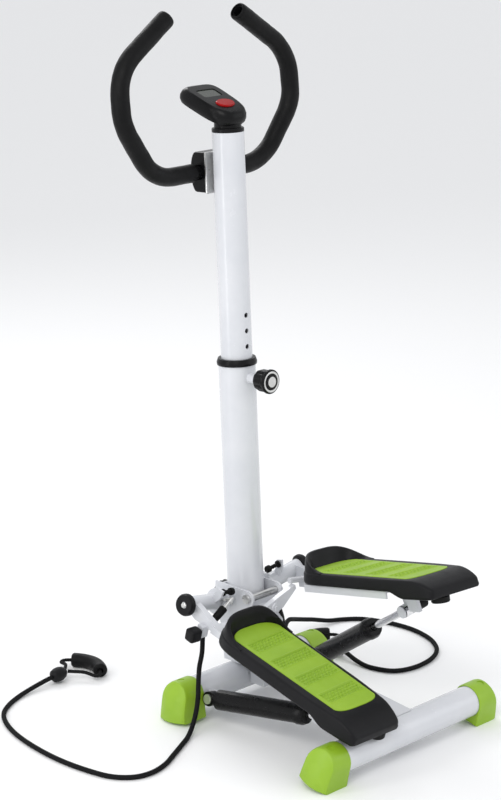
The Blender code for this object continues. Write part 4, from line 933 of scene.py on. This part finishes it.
def rope(side_name, side, paints):
    """The pull rope from its sleeve to the stopper, and the hand loop through its grip."""
    route = LEFT_ROUTE if side < 0 else RIGHT_ROUTE
    start, hang = rope_start(side)
    points = [TO_ORIGIN @ Vector(p) for p in [start, start + hang * STRAIGHT_START, *route]]
    line = smooth_route(points, 0.0011)
    braid = braided(line, ROPE_R, count=24, pitch=0.020, yarns=4, relief=0.00032)
    cord = piece(f"{side_name}_rope_braid", braid, paints["rope"], "frame",
                 (f"{side_name}_rope",), 60)

    place = frame_along(points[-1], points[-1] - points[-2])
    along = (place.to_3x3() @ Vector((0, 0, 1))).normalized()
    stop_end = place @ Vector((0, 0, STOPPER_LENGTH))
    grip_line = grip_points(place, 1 if side < 0 else -1)
    first = loop_strand(grip_line, stop_end, along, -1)
    second = loop_strand(grip_line, stop_end, along, 1)
    loop_line = smooth_route(first + grip_line[1:-1] + second[::-1], 0.0011)
    braid = braided(loop_line, LOOP_R, count=20, pitch=0.016, yarns=4, relief=0.00025)
    loop = piece(f"{side_name}_loop_braid", braid, paints["rope"], "frame",
                 (f"{side_name}_rope_loop",), 60)
    grip = foam_sleeve(f"{side_name}_hand_grip", smooth_route(grip_line, 0.0016), (0, 0, 1), 32,
                       hand_grip_radius, GRIP_BORE, {0: 0.0018, 1: 0.0006},
                       paints["foam"], "frame", f"{side_name}_rope_grip")


# ---------------------------------------------------------------- CAD nodes

CAD_CREASE = 32
FINISHES = {
    "white": ["heel_crossbar", "column_crossbar", "spine_tube", "column_saddle", "column_tube", "mast_tube",
              "rocker_beam", "left_axle", "right_axle", "left_arm", "right_arm"],
    "lime": ["heel_foot_left", "heel_foot_right", "column_foot_left", "column_foot_right", "left_pedal_tread",
             "right_pedal_tread"],
    "zinc": ["saddle_bolt", "clamp_plate", "left_damper_pin", "right_damper_pin", "left_rope_hook",
             "right_rope_hook"],
    "chrome": ["left_damper_rod", "right_damper_rod"],
    "enamel": ["left_damper_body", "right_damper_body"],
    "smooth_black": ["console_housing", "mast_cap", "lock_knob", "saddle_knob", "clamp_block",
                     "handlebar_tube", "collar_ring"],
    "black": ["left_axle_cap", "right_axle_cap", "left_arm_plug", "right_arm_plug", "left_pedal_tray",
              "right_pedal_tray", "left_rope_stopper", "right_rope_stopper"],
    "rubber": ["left_heel_bumper", "right_heel_bumper", "left_arm_stop", "right_arm_stop", "left_stop_screw",
               "right_stop_screw", "left_rope_sleeve", "right_rope_sleeve"],
    "red": ["console_button"],
    "display": ["console_window"],
    "foam": ["foam_grip_left", "foam_grip_right", "left_rope_grip", "right_rope_grip"],
    "rope": ["left_rope", "right_rope", "left_rope_loop", "right_rope_loop"],
}


def finish_cad(paints):
    """Gives each CAD node its finish, and shades it smooth but for its creases."""
    for finish, names in FINISHES.items():
        for name in names:
            mesh = NODES[name].data
            mesh.materials.clear()
            mesh.materials.append(paints[finish])
            mesh.polygons.foreach_set("use_smooth", [True] * len(mesh.polygons))
            weld = NODES[name].modifiers.new("weld", "WELD")
            weld.merge_threshold = 0.00001
            split = NODES[name].modifiers.new("split", "EDGE_SPLIT")
            split.split_angle = math.radians(CAD_CREASE)
            weighted = NODES[name].modifiers.new("weighted", "WEIGHTED_NORMAL")
            weighted.keep_sharp = True


def main():
    set_camera()
    set_studio()
    set_floor()
    paints = make_materials()
    finish_cad(paints)
    knob_plates(paints)
    for side_name, side in SIDES.items():
        axle_nut(side_name, side, paints)
        rope(side_name, side, paints)
        foam_grip(side_name, side, paints)
        pedal(side_name, side, paints)


main()
